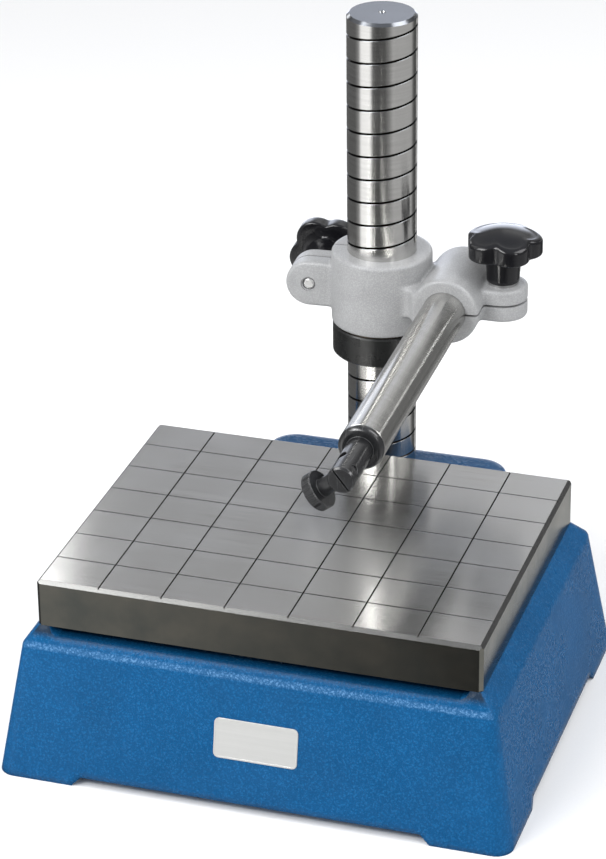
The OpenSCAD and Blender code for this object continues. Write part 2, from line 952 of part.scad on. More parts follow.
module clamp_bores() {
    at_clamp()
        translate([0, 0, -column_boss_height / 2 - cut])
            cylinder(
                r = column_radius + running_fit, h = column_boss_height + 2 * cut,
                $fn = round_fn
            );
    at_arm()
        translate([0, arm_boss_back + cut, 0])
            rotate([90, 0, 0])
                cylinder(
                    r = arm_radius + running_fit, h = arm_boss_front + arm_boss_back + 2 * cut,
                    $fn = round_fn
                );
}

module clamp_slits() {
    at_clamp()
        rotate([0, 0, column_ear_turn])
            translate([
                -column_ear_reach - column_ear_radius - cut, -slit_width / 2,
                -column_boss_height / 2 - cut
            ])
                cube([
                    column_ear_reach + column_ear_radius + cut - column_radius / 2,
                    slit_width, column_boss_height + 2 * cut
                ]);
    at_arm()
        translate([arm_radius / 2, -arm_boss_front - cut, -slit_width / 2])
            cube([
                arm_ear_reach + arm_ear_radius - arm_radius / 2 + cut,
                arm_boss_front + arm_boss_back + 2 * cut, slit_width
            ]);
}

// Each pair of ears has a clearance hole on the knob's side and a threaded one beyond the slit,
// whose mouth is slightly recessed
module ear_holes() {
    at_column_ears()
        rotate([-90, 0, 0])
            stud_holes(column_ear_thickness / 2, column_ear_thickness / 2);
    at_arm_ears()
        stud_holes(lower_ear_thickness + slit_width / 2, upper_ear_thickness + slit_width / 2);
}

module stud_holes(threaded, clear) {
    translate([0, 0, -threaded - cut])
        cylinder(r = stud_radius + running_fit, h = threaded + 2 * cut, $fn = round_fn);
    cylinder(r = stud_radius + screw_clearance, h = clear + cut, $fn = round_fn);
    translate([0, 0, -threaded - cut])
        cylinder(
            r = stud_radius + 3 * screw_clearance, h = 2 * screw_clearance + cut,
            $fn = round_fn
        );
}

// A clamping stud: its round-nosed end lies in the threaded ear, its other end in the knob
module clamp_stud(threaded, reach) {
    nose = stud_radius / 4;
    low = -threaded + screw_clearance;
    high = reach + insert_depth - seating;
    color("gainsboro")
        rotate_extrude($fn = round_fn)
            polygon([
                [0, low],
                [stud_radius - nose, low],
                [stud_radius, low + nose],
                [stud_radius, high],
                [0, high]
            ]);
}

module knob_washer(thickness) {
    color("silver")
        flat_ring(knob_washer_diameter / 2, stud_radius + screw_clearance / 2, thickness);
}

module knob_insert() {
    color("darkgoldenrod")
        flat_ring(insert_diameter / 2, stud_radius + seating, insert_depth);
}

// A point at this distance and angle from a centre that lies on a ray from the origin
function on_arc(run, ray, radius, angle) = [
    run * cos(ray) + radius * cos(angle),
    run * sin(ray) + radius * sin(angle)
];

// Plan of a star head in short chords: round lobes joined by round valleys, tangent to each other
module star_outline() {
    lobe_run = knob_diameter / 2 - (1 - lobe_trim) * lobe_radius;
    half_turn = 180 / knob_lobes;
    side_run = lobe_run * sin(half_turn);
    valley_run = lobe_run * cos(half_turn) + sqrt((lobe_radius + valley_radius) ^ 2 - side_run ^ 2);
    touch = atan2(valley_run * sin(half_turn), valley_run * cos(half_turn) - lobe_run);
    polygon([
        for (lobe = [0:knob_lobes - 1])
            let (ray = 2 * half_turn * lobe, next = ray + half_turn)
                each concat(
                    [
                        for (step = [-lobe_chords:lobe_chords])
                            on_arc(lobe_run, ray, lobe_radius, ray + touch * step / lobe_chords)
                    ],
                    [
                        for (step = [1:2 * valley_chords - 1])
                            on_arc(
                                valley_run, next, valley_radius,
                                next + 180 + (touch - half_turn) * (1 - step / valley_chords)
                            )
                    ]
                )
    ]);
}

// A star knob with a tapered hub and a domed, round-edged head; z = 0 is the hub's foot
module star_knob(turn) {
    radius = knob_diameter / 2;
    rim = knob_height - dome_height;
    round_over = dome_height / 2;
    edge_inset = head_edge * (1 - half_root);
    dome = (radius ^ 2 + dome_height ^ 2) / (2 * dome_height);
    color("#1b1d22")
        difference() {
            union() {
                intersection() {
                    rotate([0, 0, turn])
                        translate([0, 0, hub_height - cut])
                            linear_extrude(knob_height - hub_height + 2 * cut)
                                star_outline();
                    translate([0, 0, knob_height - dome])
                        sphere(r = dome, $fn = round_fn);
                    rotate_extrude($fn = round_fn)
                        polygon([
                            [0, hub_height],
                            [radius - head_edge, hub_height],
                            [radius - edge_inset, hub_height + edge_inset],
                            [radius, hub_height + head_edge],
                            [radius, rim - round_over],
                            [radius - round_over / 4, rim],
                            [radius - round_over, rim + 0.7 * round_over],
                            [radius - 2 * round_over, rim + dome_height],
                            [0, rim + dome_height]
                        ]);
                }
                cylinder(
                    d1 = hub_diameter, d2 = hub_top_diameter, h = hub_height + round_over,
                    $fn = round_fn
                );
            }
            translate([0, 0, -cut])
                cylinder(
                    r = insert_diameter / 2 + seating, h = insert_depth + cut, $fn = round_fn
                );
        }
}

// The column ears' screw: z = 0 is the slit, and z runs out to the knob
module along_column_screw() {
    at_column_ears()
        rotate([-90, 0, 0])
            children();
}

module column_clamp_stud() {
    half = column_ear_thickness / 2;
    along_column_screw()
        clamp_stud(half, half + column_washer_thickness);
}

module column_clamp_washer() {
    along_column_screw()
        translate([0, 0, column_ear_thickness / 2])
            knob_washer(column_washer_thickness);
}

module column_clamp_insert() {
    along_column_screw()
        translate([0, 0, column_ear_thickness / 2 + column_washer_thickness])
            knob_insert();
}

module column_clamp_knob() {
    along_column_screw()
        translate([0, 0, column_ear_thickness / 2 + column_washer_thickness])
            star_knob(column_knob_turn);
}

module arm_clamp_stud() {
    at_arm_ears()
        clamp_stud(
            lower_ear_thickness + slit_width / 2,
            upper_ear_thickness + slit_width / 2 + arm_washer_thickness
        );
}

module arm_clamp_washer() {
    at_arm_ears()
        translate([0, 0, upper_ear_thickness + slit_width / 2])
            knob_washer(arm_washer_thickness);
}

module arm_clamp_insert() {
    at_arm_ears()
        translate([0, 0, upper_ear_thickness + slit_width / 2 + arm_washer_thickness])
            knob_insert();
}

module arm_clamp_knob() {
    at_arm_ears()
        translate([0, 0, upper_ear_thickness + slit_width / 2 + arm_washer_thickness])
            star_knob(arm_knob_turn);
}

// The arm's own frame: z runs out along the arm from the column's axis, x is the stem's way
module along_arm(roll) {
    at_arm()
        rotate([90, 0, 0])
            rotate([0, 0, roll])
                children();
}

module arm_rod() {
    color("gainsboro")
        along_arm(0)
            difference() {
                translate([0, 0, -arm_tail])
                    bevelled_disc(arm_radius, arm_length, arm_bevel);
                translate([0, 0, arm_reach - spigot_length - passing_gap])
                    cylinder(
                        r = spigot_diameter / 2 + running_fit,
                        h = spigot_length + passing_gap + cut, $fn = round_fn
                    );
                translate([0, 0, arm_reach - spigot_length / 2])
                    rotate([90, 0, 0])
                        cylinder(
                            r = set_screw_diameter / 2 + seating, h = arm_diameter,
                            $fn = round_fn
                        );
            }
}

// A grub screw under the arm, whose tip lies in the spigot's turned groove
module arm_set_screw() {
    tip = spigot_diameter / 2 - set_screw_diameter / 4;
    length = arm_radius - passing_gap - tip;
    color("dimgray")
        along_arm(0)
            translate([0, 0, arm_reach - spigot_length / 2])
                rotate([90, 0, 0])
                    translate([0, 0, tip])
                        difference() {
                            cylinder(d = set_screw_diameter, h = length, $fn = round_fn);
                            translate([0, 0, length / 2])
                                cylinder(d = set_screw_diameter / 2, h = length, $fn = 6);
                        }
}

module indicator_holder() {
    tip = nose_tip;
    screw_z = tip - screw_setback;
    stem_z = tip - stem_setback;
    color("#2c2e31")
        along_arm(holder_roll)
            difference() {
                holder_blank();
                translate([-nose_diameter, 0, stem_z])
                    rotate([0, 90, 0])
                        cylinder(d = stem_diameter, h = 2 * nose_diameter, $fn = round_fn);
                translate([-nose_diameter, -saw_cut / 2, stem_z])
                    cube([2 * nose_diameter, saw_cut, stem_setback + cut]);
                translate([0, -nose_diameter, screw_z])
                    rotate([-90, 0, 0])
                        cylinder(
                            r = thumb_shank_diameter / 2 + running_fit,
                            h = nose_diameter + saw_cut / 4, $fn = round_fn
                        );
                translate([0, -saw_cut / 4, screw_z])
                    rotate([-90, 0, 0])
                        cylinder(
                            r = thumb_shank_diameter / 2 + screw_clearance / 2,
                            h = nose_diameter, $fn = round_fn
                        );
                translate([0, nose_radius - spot_depth, screw_z])
                    rotate([-90, 0, 0])
                        cylinder(
                            r = thumb_collar_diameter / 2 + passing_gap, h = nose_diameter,
                            $fn = round_fn
                        );
            }
}

module holder_blank() {
    front = arm_reach + flange_length;
    groove = set_screw_diameter / 4 + passing_gap;
    middle = arm_reach - spigot_length / 2;
    half = set_screw_diameter / 2 + passing_gap;
    spigot = spigot_diameter / 2;
    rotate_extrude($fn = round_fn)
        polygon(concat(
            [
                [0, arm_reach - spigot_length],
                [spigot - arm_bevel, arm_reach - spigot_length],
                [spigot, arm_reach - spigot_length + arm_bevel],
                [spigot, middle - half],
                [spigot - groove, middle - half],
                [spigot - groove, middle + half],
                [spigot, middle + half],
                [spigot, arm_reach],
                [arm_radius, arm_reach]
            ],
            [
                for (angle = [0:15:90])
                    [
                        arm_radius - flange_rounding * (1 - cos(angle)),
                        front - flange_rounding * (1 - sin(angle))
                    ]
            ],
            [
                [nose_radius, front],
                [nose_radius, nose_tip - nose_bevel],
                [nose_radius - nose_bevel, nose_tip],
                [0, nose_tip]
            ]
        ));
}

// A knurled thumb screw that draws the nose's two jaws together on the stem
module thumb_screw() {
    seat = nose_radius - spot_depth;
    tail = nose_diameter - spot_depth - arm_bevel;
    radius = thumb_head_diameter / 2;
    color("#34363a")
        along_arm(holder_roll)
            translate([0, seat, nose_tip - screw_setback])
                rotate([-90, 0, 0])
                    union() {
                        translate([0, 0, -tail])
                            cylinder(d = thumb_shank_diameter, h = tail + cut, $fn = round_fn);
                        cylinder(
                            d = thumb_collar_diameter, h = thumb_collar_length + cut,
                            $fn = round_fn
                        );
                        translate([0, 0, thumb_collar_length])
                            difference() {
                                bevelled_disc(radius, thumb_head_thickness, knurl_depth);
                                for (i = [0:knurl_count - 1])
                                    rotate([0, 0, i * 360 / knurl_count])
                                        translate([radius + knurl_depth, 0, -cut])
                                            cylinder(
                                                r = 2 * knurl_depth,
                                                h = thumb_head_thickness + 2 * cut, $fn = 4
                                            );
                            }
                    }
}

base_casting();
table_plate();
plate_screws();
plate_screw_washers();
column_foot_ring();
column();
column_bolt();
column_bolt_washer();
thrust_washer();
ring_nut();
nut_guide_screw();
clamp_body();
column_clamp_stud();
column_clamp_washer();
column_clamp_insert();
column_clamp_knob();
arm_clamp_stud();
arm_clamp_washer();
arm_clamp_insert();
arm_clamp_knob();
arm_rod();
arm_set_screw();
indicator_holder();
thumb_screw();
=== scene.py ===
import bpy, bmesh, json, math
from mathutils import Matrix, Vector

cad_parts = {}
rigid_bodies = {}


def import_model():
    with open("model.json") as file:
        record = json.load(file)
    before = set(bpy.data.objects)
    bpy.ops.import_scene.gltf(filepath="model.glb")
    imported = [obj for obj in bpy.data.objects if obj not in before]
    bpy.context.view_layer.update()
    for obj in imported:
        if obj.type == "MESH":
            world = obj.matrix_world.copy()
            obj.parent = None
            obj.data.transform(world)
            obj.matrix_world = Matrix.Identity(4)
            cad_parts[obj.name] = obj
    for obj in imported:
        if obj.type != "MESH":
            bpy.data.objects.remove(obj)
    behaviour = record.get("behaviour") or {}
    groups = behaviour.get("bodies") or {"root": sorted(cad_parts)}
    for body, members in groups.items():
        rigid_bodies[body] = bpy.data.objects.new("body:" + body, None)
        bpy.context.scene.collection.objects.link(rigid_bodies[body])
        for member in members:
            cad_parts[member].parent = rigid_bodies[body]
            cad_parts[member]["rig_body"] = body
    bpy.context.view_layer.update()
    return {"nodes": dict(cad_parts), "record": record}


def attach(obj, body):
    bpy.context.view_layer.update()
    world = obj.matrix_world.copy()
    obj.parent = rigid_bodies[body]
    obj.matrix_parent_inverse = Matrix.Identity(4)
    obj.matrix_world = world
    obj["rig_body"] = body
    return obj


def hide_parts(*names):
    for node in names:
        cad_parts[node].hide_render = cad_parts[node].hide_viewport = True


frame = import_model()
nodes = frame["nodes"]
mm = 0.001
weldWithin = 0.001 * mm  # points closer than this become one
print("frame loaded:", len(nodes), "nodes")

# the camera stands where the photograph was taken from
cameraView = {
    "focalPixels": 3400.07, "longSide": 859, "azimuth": 17.93, "elevation": 26.94,
    "roll": -0.66, "distance": 2.39275, "target": (-0.04895, 0.09937, 0.138),
    "sensorWidth": 36, "sensorHeight": 24, "nearest": 0.05, "farthest": 50,
}


def placeCamera(v):
    a, e, r = (math.radians(v[k]) for k in ("azimuth", "elevation", "roll"))
    back = Vector((math.sin(a) * math.cos(e), -math.cos(a) * math.cos(e), math.sin(e)))
    right = Vector((math.cos(a), math.sin(a), 0))
    up = back.cross(right)
    right, up = right * math.cos(r) + up * math.sin(r), up * math.cos(r) - right * math.sin(r)
    data = bpy.data.cameras.new("photoCamera")
    data.sensor_fit = "AUTO"
    data.sensor_width, data.sensor_height = v["sensorWidth"], v["sensorHeight"]
    data.lens = v["focalPixels"] / v["longSide"] * v["sensorWidth"]
    data.clip_start, data.clip_end = v["nearest"], v["farthest"]
    camera = bpy.data.objects.new("photoCamera", data)
    bpy.context.scene.collection.objects.link(camera)
    place = Matrix((right, up, back)).transposed().to_4x4()
    place.translation = Vector(v["target"]) + back * v["distance"]
    camera.matrix_world = place
    bpy.context.scene.camera = camera


placeCamera(cameraView)
bpy.context.scene.view_settings.view_transform = "Standard"  # plain colours, as a product shot has
print("camera placed")


# short ways to wire nodes, in shader trees and in geometry trees alike
def connect(tree, value, socket):
    if isinstance(value, bpy.types.NodeSocket):
        tree.links.new(value, socket)
    elif socket.type == "RGBA" and len(value) == 3:
        socket.default_value = (*value, 1)
    else:
        socket.default_value = value


def put(tree, kind, inputs=None, **settings):
    node = tree.nodes.new(kind)
    for key, value in settings.items():
        setattr(node, key, value)
    for key, value in (inputs or {}).items():
        connect(tree, value, node.inputs[key])
    return node


def calc(tree, operation, *values):
    node = put(tree, "ShaderNodeMath", operation=operation)
    for socket, value in zip(node.inputs, values):
        connect(tree, value, socket)
    return node.outputs[0]


def moveVector(tree, operation, first, second):
    node = put(tree, "ShaderNodeVectorMath", operation=operation)
    connect(tree, first, node.inputs[0])
    connect(tree, second, node.inputs["Scale" if operation == "SCALE" else 1])
    return node.outputs["Value" if operation == "DOT_PRODUCT" else "Vector"]


def spread(tree, value, fromLow, fromHigh, toLow=0.0, toHigh=1.0, soft=False):
    node = put(tree, "ShaderNodeMapRange", interpolation_type="SMOOTHSTEP" if soft else "LINEAR")
    for socket, v in zip(node.inputs, (value, fromLow, fromHigh, toLow, toHigh)):
        connect(tree, v, socket)
    return node.outputs[0]


def mixColours(tree, share, low, high):
    node = put(tree, "ShaderNodeMix", data_type="RGBA")
    for place, v in ((0, share), (6, low), (7, high)):
        connect(tree, v, node.inputs[place])
    return node.outputs[2]


def splitVector(tree, vector):
    return put(tree, "ShaderNodeSeparateXYZ", {"Vector": vector}).outputs


def rampOf(tree, value, stops):
    node = put(tree, "ShaderNodeValToRGB", {"Fac": value})
    elements = node.color_ramp.elements
    while len(elements) < len(stops):
        elements.new(0.5)
    for element, (place, level) in zip(elements, sorted(stops)):
        element.position = place
        element.color = (level, level, level, 1) if isinstance(level, float) else (*level, 1)
    return node.outputs["Color"]


def newGroup(name, inputs, outputs):
    group = bpy.data.node_groups.new(name, "ShaderNodeTree")
    for label, value in inputs:
        kind = "NodeSocketVector" if value is None else "NodeSocketFloat"
        socket = group.interface.new_socket(label, in_out="INPUT", socket_type=kind)
        if value is not None:
            socket.default_value = value
    for label in outputs:
        kind = "NodeSocketVector" if label == "Normal" else "NodeSocketFloat"
        group.interface.new_socket(label, in_out="OUTPUT", socket_type=kind)
    return group, group.nodes.new("NodeGroupInput").outputs, group.nodes.new("NodeGroupOutput").inputs


def useGroup(tree, group, inputs):
    node = tree.nodes.new("ShaderNodeGroup")
    node.node_tree = group
    for key, value in inputs.items():
        connect(tree, value, node.inputs[key])
    return node.outputs


# pebbled paint that drew together while it dried: cells with darker seams
def makeHammerSkin():
    g, given, out = newGroup(
        "hammerSkin", [("Position", None), ("Cell", 0.002)], ["Speckle", "Height", "Drift"])
    perCell = calc(g, "DIVIDE", 1.0, given["Cell"])
    wobble = put(g, "ShaderNodeTexNoise", {
        "Vector": given["Position"], "Scale": calc(g, "MULTIPLY", perCell, 0.8), "Detail": 1.5})
    shift = moveVector(g, "SUBTRACT", wobble.outputs["Color"], (0.5, 0.5, 0.5))
    shift = moveVector(g, "SCALE", shift, calc(g, "MULTIPLY", given["Cell"], 1.5))
    moved = moveVector(g, "ADD", given["Position"], shift)
    cells = put(g, "ShaderNodeTexVoronoi", {
        "Vector": moved, "Scale": perCell, "Smoothness": 0.45}, feature="SMOOTH_F1")
    dome = spread(g, cells.outputs["Distance"], 0.05, 0.62, 1.0, 0.0, soft=True)
    fine = put(g, "ShaderNodeTexNoise", {
        "Vector": given["Position"], "Scale": calc(g, "MULTIPLY", perCell, 2.4), "Detail": 2.0})
    connect(g, calc(g, "MULTIPLY_ADD", spread(g, fine.outputs["Fac"], 0.3, 0.7), 0.5, calc(
        g, "MULTIPLY", dome, 0.5)), out["Speckle"])
    connect(g, calc(g, "MULTIPLY_ADD", fine.outputs["Fac"], 0.3, dome), out["Height"])
    drift = put(g, "ShaderNodeTexNoise", {
        "Vector": given["Position"], "Scale": calc(g, "MULTIPLY", perCell, 0.05), "Detail": 3.0})
    connect(g, drift.outputs["Fac"], out["Drift"])
    return g


# marks of a lathe or a grinder: quick changes along Z, slow ones across
def makeToolMarks():
    g, given, out = newGroup("toolMarks", [("Position", None), ("Fine", 2500.0)], ["Streak", "Height"])
    scale = put(g, "ShaderNodeCombineXYZ", {
        "X": calc(g, "MULTIPLY", given["Fine"], 0.012), "Y": calc(g, "MULTIPLY", given["Fine"], 0.012),
        "Z": given["Fine"]}).outputs[0]
    stretched = moveVector(g, "MULTIPLY", given["Position"], scale)
    fine = put(g, "ShaderNodeTexNoise", {"Vector": stretched, "Scale": 1.0, "Detail": 3.0})
    wide = put(g, "ShaderNodeTexNoise", {
        "Vector": moveVector(g, "SCALE", stretched, 0.11), "Scale": 1.0, "Detail": 2.0})
    streak = calc(g, "MULTIPLY_ADD", wide.outputs["Fac"], 0.6, calc(g, "MULTIPLY", fine.outputs["Fac"], 0.4))
    connect(g, spread(g, streak, 0.35, 0.65), out["Streak"])
    connect(g, fine.outputs["Fac"], out["Height"])
    return g


# what hands and cloths leave behind: soft blotches, and thin scratches that run any way
def makeHandling():
    g, given, out = newGroup("handling", [("Position", None), ("Size", 0.03)], ["Smudge", "Scratch"])
    perSize = calc(g, "DIVIDE", 1.0, given["Size"])
    soft = put(g, "ShaderNodeTexNoise", {
        "Vector": given["Position"], "Scale": perSize, "Detail": 4.0, "Roughness": 0.6})
    connect(g, spread(g, soft.outputs["Fac"], 0.38, 0.68, soft=True), out["Smudge"])
    lines = []
    for turn in ((0.3, 0.2, 0.5), (1.2, 0.7, 2.1)):
        turned = put(g, "ShaderNodeMapping", {
            "Vector": given["Position"], "Rotation": turn, "Scale": (1500, 30, 60)})
        noise = put(g, "ShaderNodeTexNoise", {"Vector": turned.outputs[0], "Scale": 1.0, "Detail": 1.0})
        lines.append(spread(g, noise.outputs["Fac"], 0.7, 0.76))
    connect(g, calc(g, "MAXIMUM", *lines), out["Scratch"])
    return g


# edges broken by a small radius, and a mask of where they are
def makeSoftEdge():
    g, given, out = newGroup("softEdge", [("Radius", 0.0005)], ["Normal", "Edge"])
    bevel = put(g, "ShaderNodeBevel", {"Radius": given["Radius"]}, samples=6)
    facing = put(g, "ShaderNodeNewGeometry").outputs["Normal"]
    turned = moveVector(g, "DOT_PRODUCT", bevel.outputs["Normal"], facing)
    connect(g, bevel.outputs["Normal"], out["Normal"])
    connect(g, spread(g, turned, 0.99, 0.8), out["Edge"])
    return g


hammerSkin, toolMarks, handling, softEdge = makeHammerSkin(), makeToolMarks(), makeHandling(), makeSoftEdge()
print("shared effects made")


def newMaterial(name, **fixed):
    m = bpy.data.materials.new(name)
    m.use_nodes = True
    tree = m.node_tree
    shader = tree.nodes["Principled BSDF"]
    for key, value in fixed.items():
        connect(tree, value, shader.inputs[key.replace("_", " ")])
    return m, tree, shader.inputs, put(tree, "ShaderNodeTexCoord").outputs["Object"]


# sprayed hammer finish: colours of seam, body and speckle, size of a cell, how deep it is
def hammerPaint(name, seam, body, speckle, cell, depth, rough, edge=0.0, inside=None, **fixed):
    material, tree, shader, place = newMaterial(name, **fixed)
    skin = useGroup(tree, hammerSkin, {"Position": place, "Cell": cell})
    touched = useGroup(tree, handling, {"Position": place, "Size": 0.05})
    colour = mixColours(tree, spread(tree, skin["Speckle"], 0.2, 0.48), seam, body)
    colour = mixColours(tree, spread(tree, skin["Speckle"], 0.48, 0.8), colour, speckle)
    colour = moveVector(tree, "SCALE", colour, spread(tree, skin["Drift"], 0.3, 0.7, 0.93, 1.07))
    if inside:
        colour = inside(tree, place, colour, skin["Speckle"])
    connect(tree, colour, shader["Base Color"])
    connect(tree, spread(tree, touched["Smudge"], 0, 1, *rough), shader["Roughness"])
    raised = {"Height": skin["Height"], "Distance": depth}
    if edge:
        raised["Normal"] = useGroup(tree, softEdge, {"Radius": edge})["Normal"]
    connect(tree, put(tree, "ShaderNodeBump", raised).outputs[0], shader["Normal"])
    return material


# turned or ground steel; turn brings the run of the marks onto Z, along is the way the gloss is drawn out
def cutSteel(name, dark, light, rough, fine, turn=(0, 0, 0), depth=2e-6, edge=0.0, inside=None,
             along=None, **fixed):
    material, tree, shader, place = newMaterial(name, Metallic=1.0, **fixed)
    if along:
        drawn = put(tree, "ShaderNodeVectorTransform", {"Vector": along}, vector_type="VECTOR",
                    convert_from="OBJECT", convert_to="WORLD")
        connect(tree, drawn.outputs[0], shader["Tangent"])
    run = put(tree, "ShaderNodeMapping", {"Vector": place, "Rotation": turn}).outputs[0]
    marks = useGroup(tree, toolMarks, {"Position": run, "Fine": fine})
    touched = useGroup(tree, handling, {"Position": place, "Size": 0.04})
    colour = mixColours(tree, marks["Streak"], dark, light)
    colour = mixColours(tree, calc(tree, "MULTIPLY", touched["Smudge"], 0.3), colour, dark)
    if inside:
        colour = inside(tree, place, colour)
    connect(tree, colour, shader["Base Color"])
    blotch = calc(tree, "MULTIPLY_ADD", touched["Smudge"], 0.5, calc(tree, "MULTIPLY", marks["Streak"], 0.5))
    connect(tree, spread(tree, blotch, 0, 1, *rough), shader["Roughness"])
    raised = {"Height": marks["Height"], "Distance": depth}
    if edge:
        raised["Normal"] = useGroup(tree, softEdge, {"Radius": edge})["Normal"]
    connect(tree, put(tree, "ShaderNodeBump", raised).outputs[0], shader["Normal"])
    return material


# blackened steel or black plastic with rubbed edges
def blackSkin(name, body, wearAndHighlight, rough, fine, depth, edge=0.0, turn=(0, 0, 0), wear=0.5, **fixed):
    material, tree, shader, place = newMaterial(name, **fixed)
    run = put(tree, "ShaderNodeMapping", {"Vector": place, "Rotation": turn}).outputs[0]
    marks = useGroup(tree, toolMarks, {"Position": run, "Fine": fine})
    touched = useGroup(tree, handling, {"Position": place, "Size": 0.02})
    peel = put(tree, "ShaderNodeTexNoise", {"Vector": place, "Scale": 900.0, "Detail": 2.0}).outputs["Fac"]
    raised = {"Height": calc(tree, "MULTIPLY_ADD", marks["Height"], 0.5, peel), "Distance": depth}
    worn = calc(tree, "MULTIPLY", touched["Scratch"], 0.25)
    if edge:
        soft = useGroup(tree, softEdge, {"Radius": edge})
        rubbedAway = calc(tree, "MULTIPLY", soft["Edge"], spread(tree, peel, 0.35, 0.6, 0.3, 1.0))
        worn = calc(tree, "MULTIPLY_ADD", rubbedAway, wear, worn)
        raised["Normal"] = soft["Normal"]
    connect(tree, mixColours(tree, worn, body, wearAndHighlight), shader["Base Color"])
    connect(tree, spread(tree, touched["Smudge"], 0, 1, *rough), shader["Roughness"])
    connect(tree, put(tree, "ShaderNodeBump", raised).outputs[0], shader["Normal"])
    return material


# the base's paint is darkened where it lies level (painted shade), darkened in front under the plate (painted
# shadow) and lightened in patches along the front crest (painted highlight); heights are where each begins
# and where it is full
basePaintedLight = {
    "levelShade": 0.6, "plateShadow": (0.014, 0.02, 0.028), "plateShadowHeights": (96.9, 101.4), "mostPlateShadow": 0.85,
    "crestHighlight": (0.125, 0.28, 0.50), "crestHighlightFrom": (89.6, 91.6), "crestHighlightTo": (95.1, 93.1),
    "crestHighlightAmounts": (0.14, 0.72),
}


def baseTones(tree, place, colour, speckle):
    w = basePaintedLight
    height = calc(tree, "DIVIDE", splitVector(tree, place)["Z"], mm)
    facing = splitVector(tree, put(tree, "ShaderNodeTexCoord").outputs["Normal"])
    ahead = spread(tree, facing["Y"], -0.5, -0.8)
    # painted shade: faces that lie level are darkened
    colour = moveVector(tree, "SCALE", colour, spread(tree, facing["Z"], 0.85, 0.95, 1.0, w["levelShade"]))
    # painted shadow: the front faces are darkened just under the plate
    plateShadow = calc(tree, "MULTIPLY", ahead, spread(tree, height, *w["plateShadowHeights"], 0.0, w["mostPlateShadow"]))
    colour = mixColours(tree, plateShadow, colour, w["plateShadow"])
    # painted highlight: a pale, patchy band along the front crest
    band = calc(tree, "MULTIPLY", spread(tree, height, *w["crestHighlightFrom"]), spread(tree, height, *w["crestHighlightTo"]))
    patchy = spread(tree, speckle, 0.25, 0.7, *w["crestHighlightAmounts"])
    wearAndHighlight = calc(tree, "MULTIPLY", calc(tree, "MULTIPLY", band, ahead), patchy)
    return mixColours(tree, wearAndHighlight, colour, w["crestHighlight"])


# the ground top of the table is bright, its sides are dull and its lines are filled dark;
# its right side is painted lighter, and its chamfers are painted light in front and dark on the right,
# painted light and shade
tableShape = {
    "width": 300.0, "depth": 236.0, "cells": 7, "top": 138.0, "y": -37.363, "line": 1.15, "lineDepth": 0.9,
    "lineFade": (1.05, 0.75), "border": 3.2, "filling": (0.025, 0.024, 0.022), "mottle": 28.0,
    "dull": ((0.078, 0.081, 0.074), (0.115, 0.110, 0.095)), "rightSideLit": 3.2,
    "litAndShadedChamfer": ((0.15, 0.15, 0.146), (0.032, 0.032, 0.032)),
}


def tableTones(tree, place, colour):
    t = tableShape
    parts = splitVector(tree, moveVector(tree, "SUBTRACT", place, (0, t["y"] * mm, 0)))
    facing = splitVector(tree, put(tree, "ShaderNodeTexCoord").outputs["Normal"])
    mottle = put(tree, "ShaderNodeTexNoise", {
        "Vector": place, "Scale": t["mottle"], "Detail": 5.0, "Roughness": 0.62}).outputs["Fac"]
    dull = mixColours(tree, spread(tree, mottle, 0.32, 0.66), *t["dull"])
    # painted light: the side facing right is made lighter
    litRightSide = moveVector(tree, "SCALE", dull, t["rightSideLit"])
    dull = mixColours(tree, spread(tree, facing["X"], 0.4, 0.8), dull, litRightSide)
    # painted light and shade: the chamfers are lighter in front and darker on the right
    litAndShadedChamfer = mixColours(tree, spread(tree, facing["X"], 0.4, 0.6), *t["litAndShadedChamfer"])
    sides = mixColours(tree, spread(tree, facing["Z"], 0.1, 0.4), dull, litAndShadedChamfer)
    colour = mixColours(tree, spread(tree, facing["Z"], 0.85, 0.97), sides, colour)
    lines = []
    spareCells = 20  # these keep the fraction above zero
    for axis, span in (("X", t["width"]), ("Y", t["depth"])):
        cells = calc(tree, "ADD", calc(tree, "DIVIDE", parts[axis], span / t["cells"] * mm), spareCells)
        away = calc(tree, "ABSOLUTE", calc(tree, "SUBTRACT", calc(tree, "FRACT", cells), 0.5))
        half = t["line"] / 2 / span * t["cells"]
        line = spread(tree, away, *(half * share for share in t["lineFade"]))
        inner = (span / 2 - t["border"]) * mm
        within = calc(tree, "LESS_THAN", calc(tree, "ABSOLUTE", parts[axis]), inner)
        lines.append(calc(tree, "MULTIPLY", line, within))
    onTop = calc(tree, "GREATER_THAN", parts["Z"], (t["top"] - t["lineDepth"]) * mm)
    drawn = calc(tree, "MULTIPLY", calc(tree, "MAXIMUM", *lines), onTop)
    return mixColours(tree, drawn, colour, t["filling"])


columnShape = {
    "radius": 24.0, "foot": 118.4, "top": 442.4, "y": 129.837, "pitch": 16.75, "start": 32.0,
    "width": 1.4, "depth": 1.15, "edge": 0.22, "topBevel": 2.0, "footBevel": 0.8,
    "hole": 2.5, "around": 168, "turns": 21, "topShade": (0.36, 0.38, 0.42),
}

# how far under the column's skin the painted shade in its groove begins, is full and ends, and how far under
# its top
grooveShade = {"under": (0.03, 0.3), "deepest": 1.6, "fromTop": (2.2, 2.6), "colour": (0.03, 0.027, 0.023)}


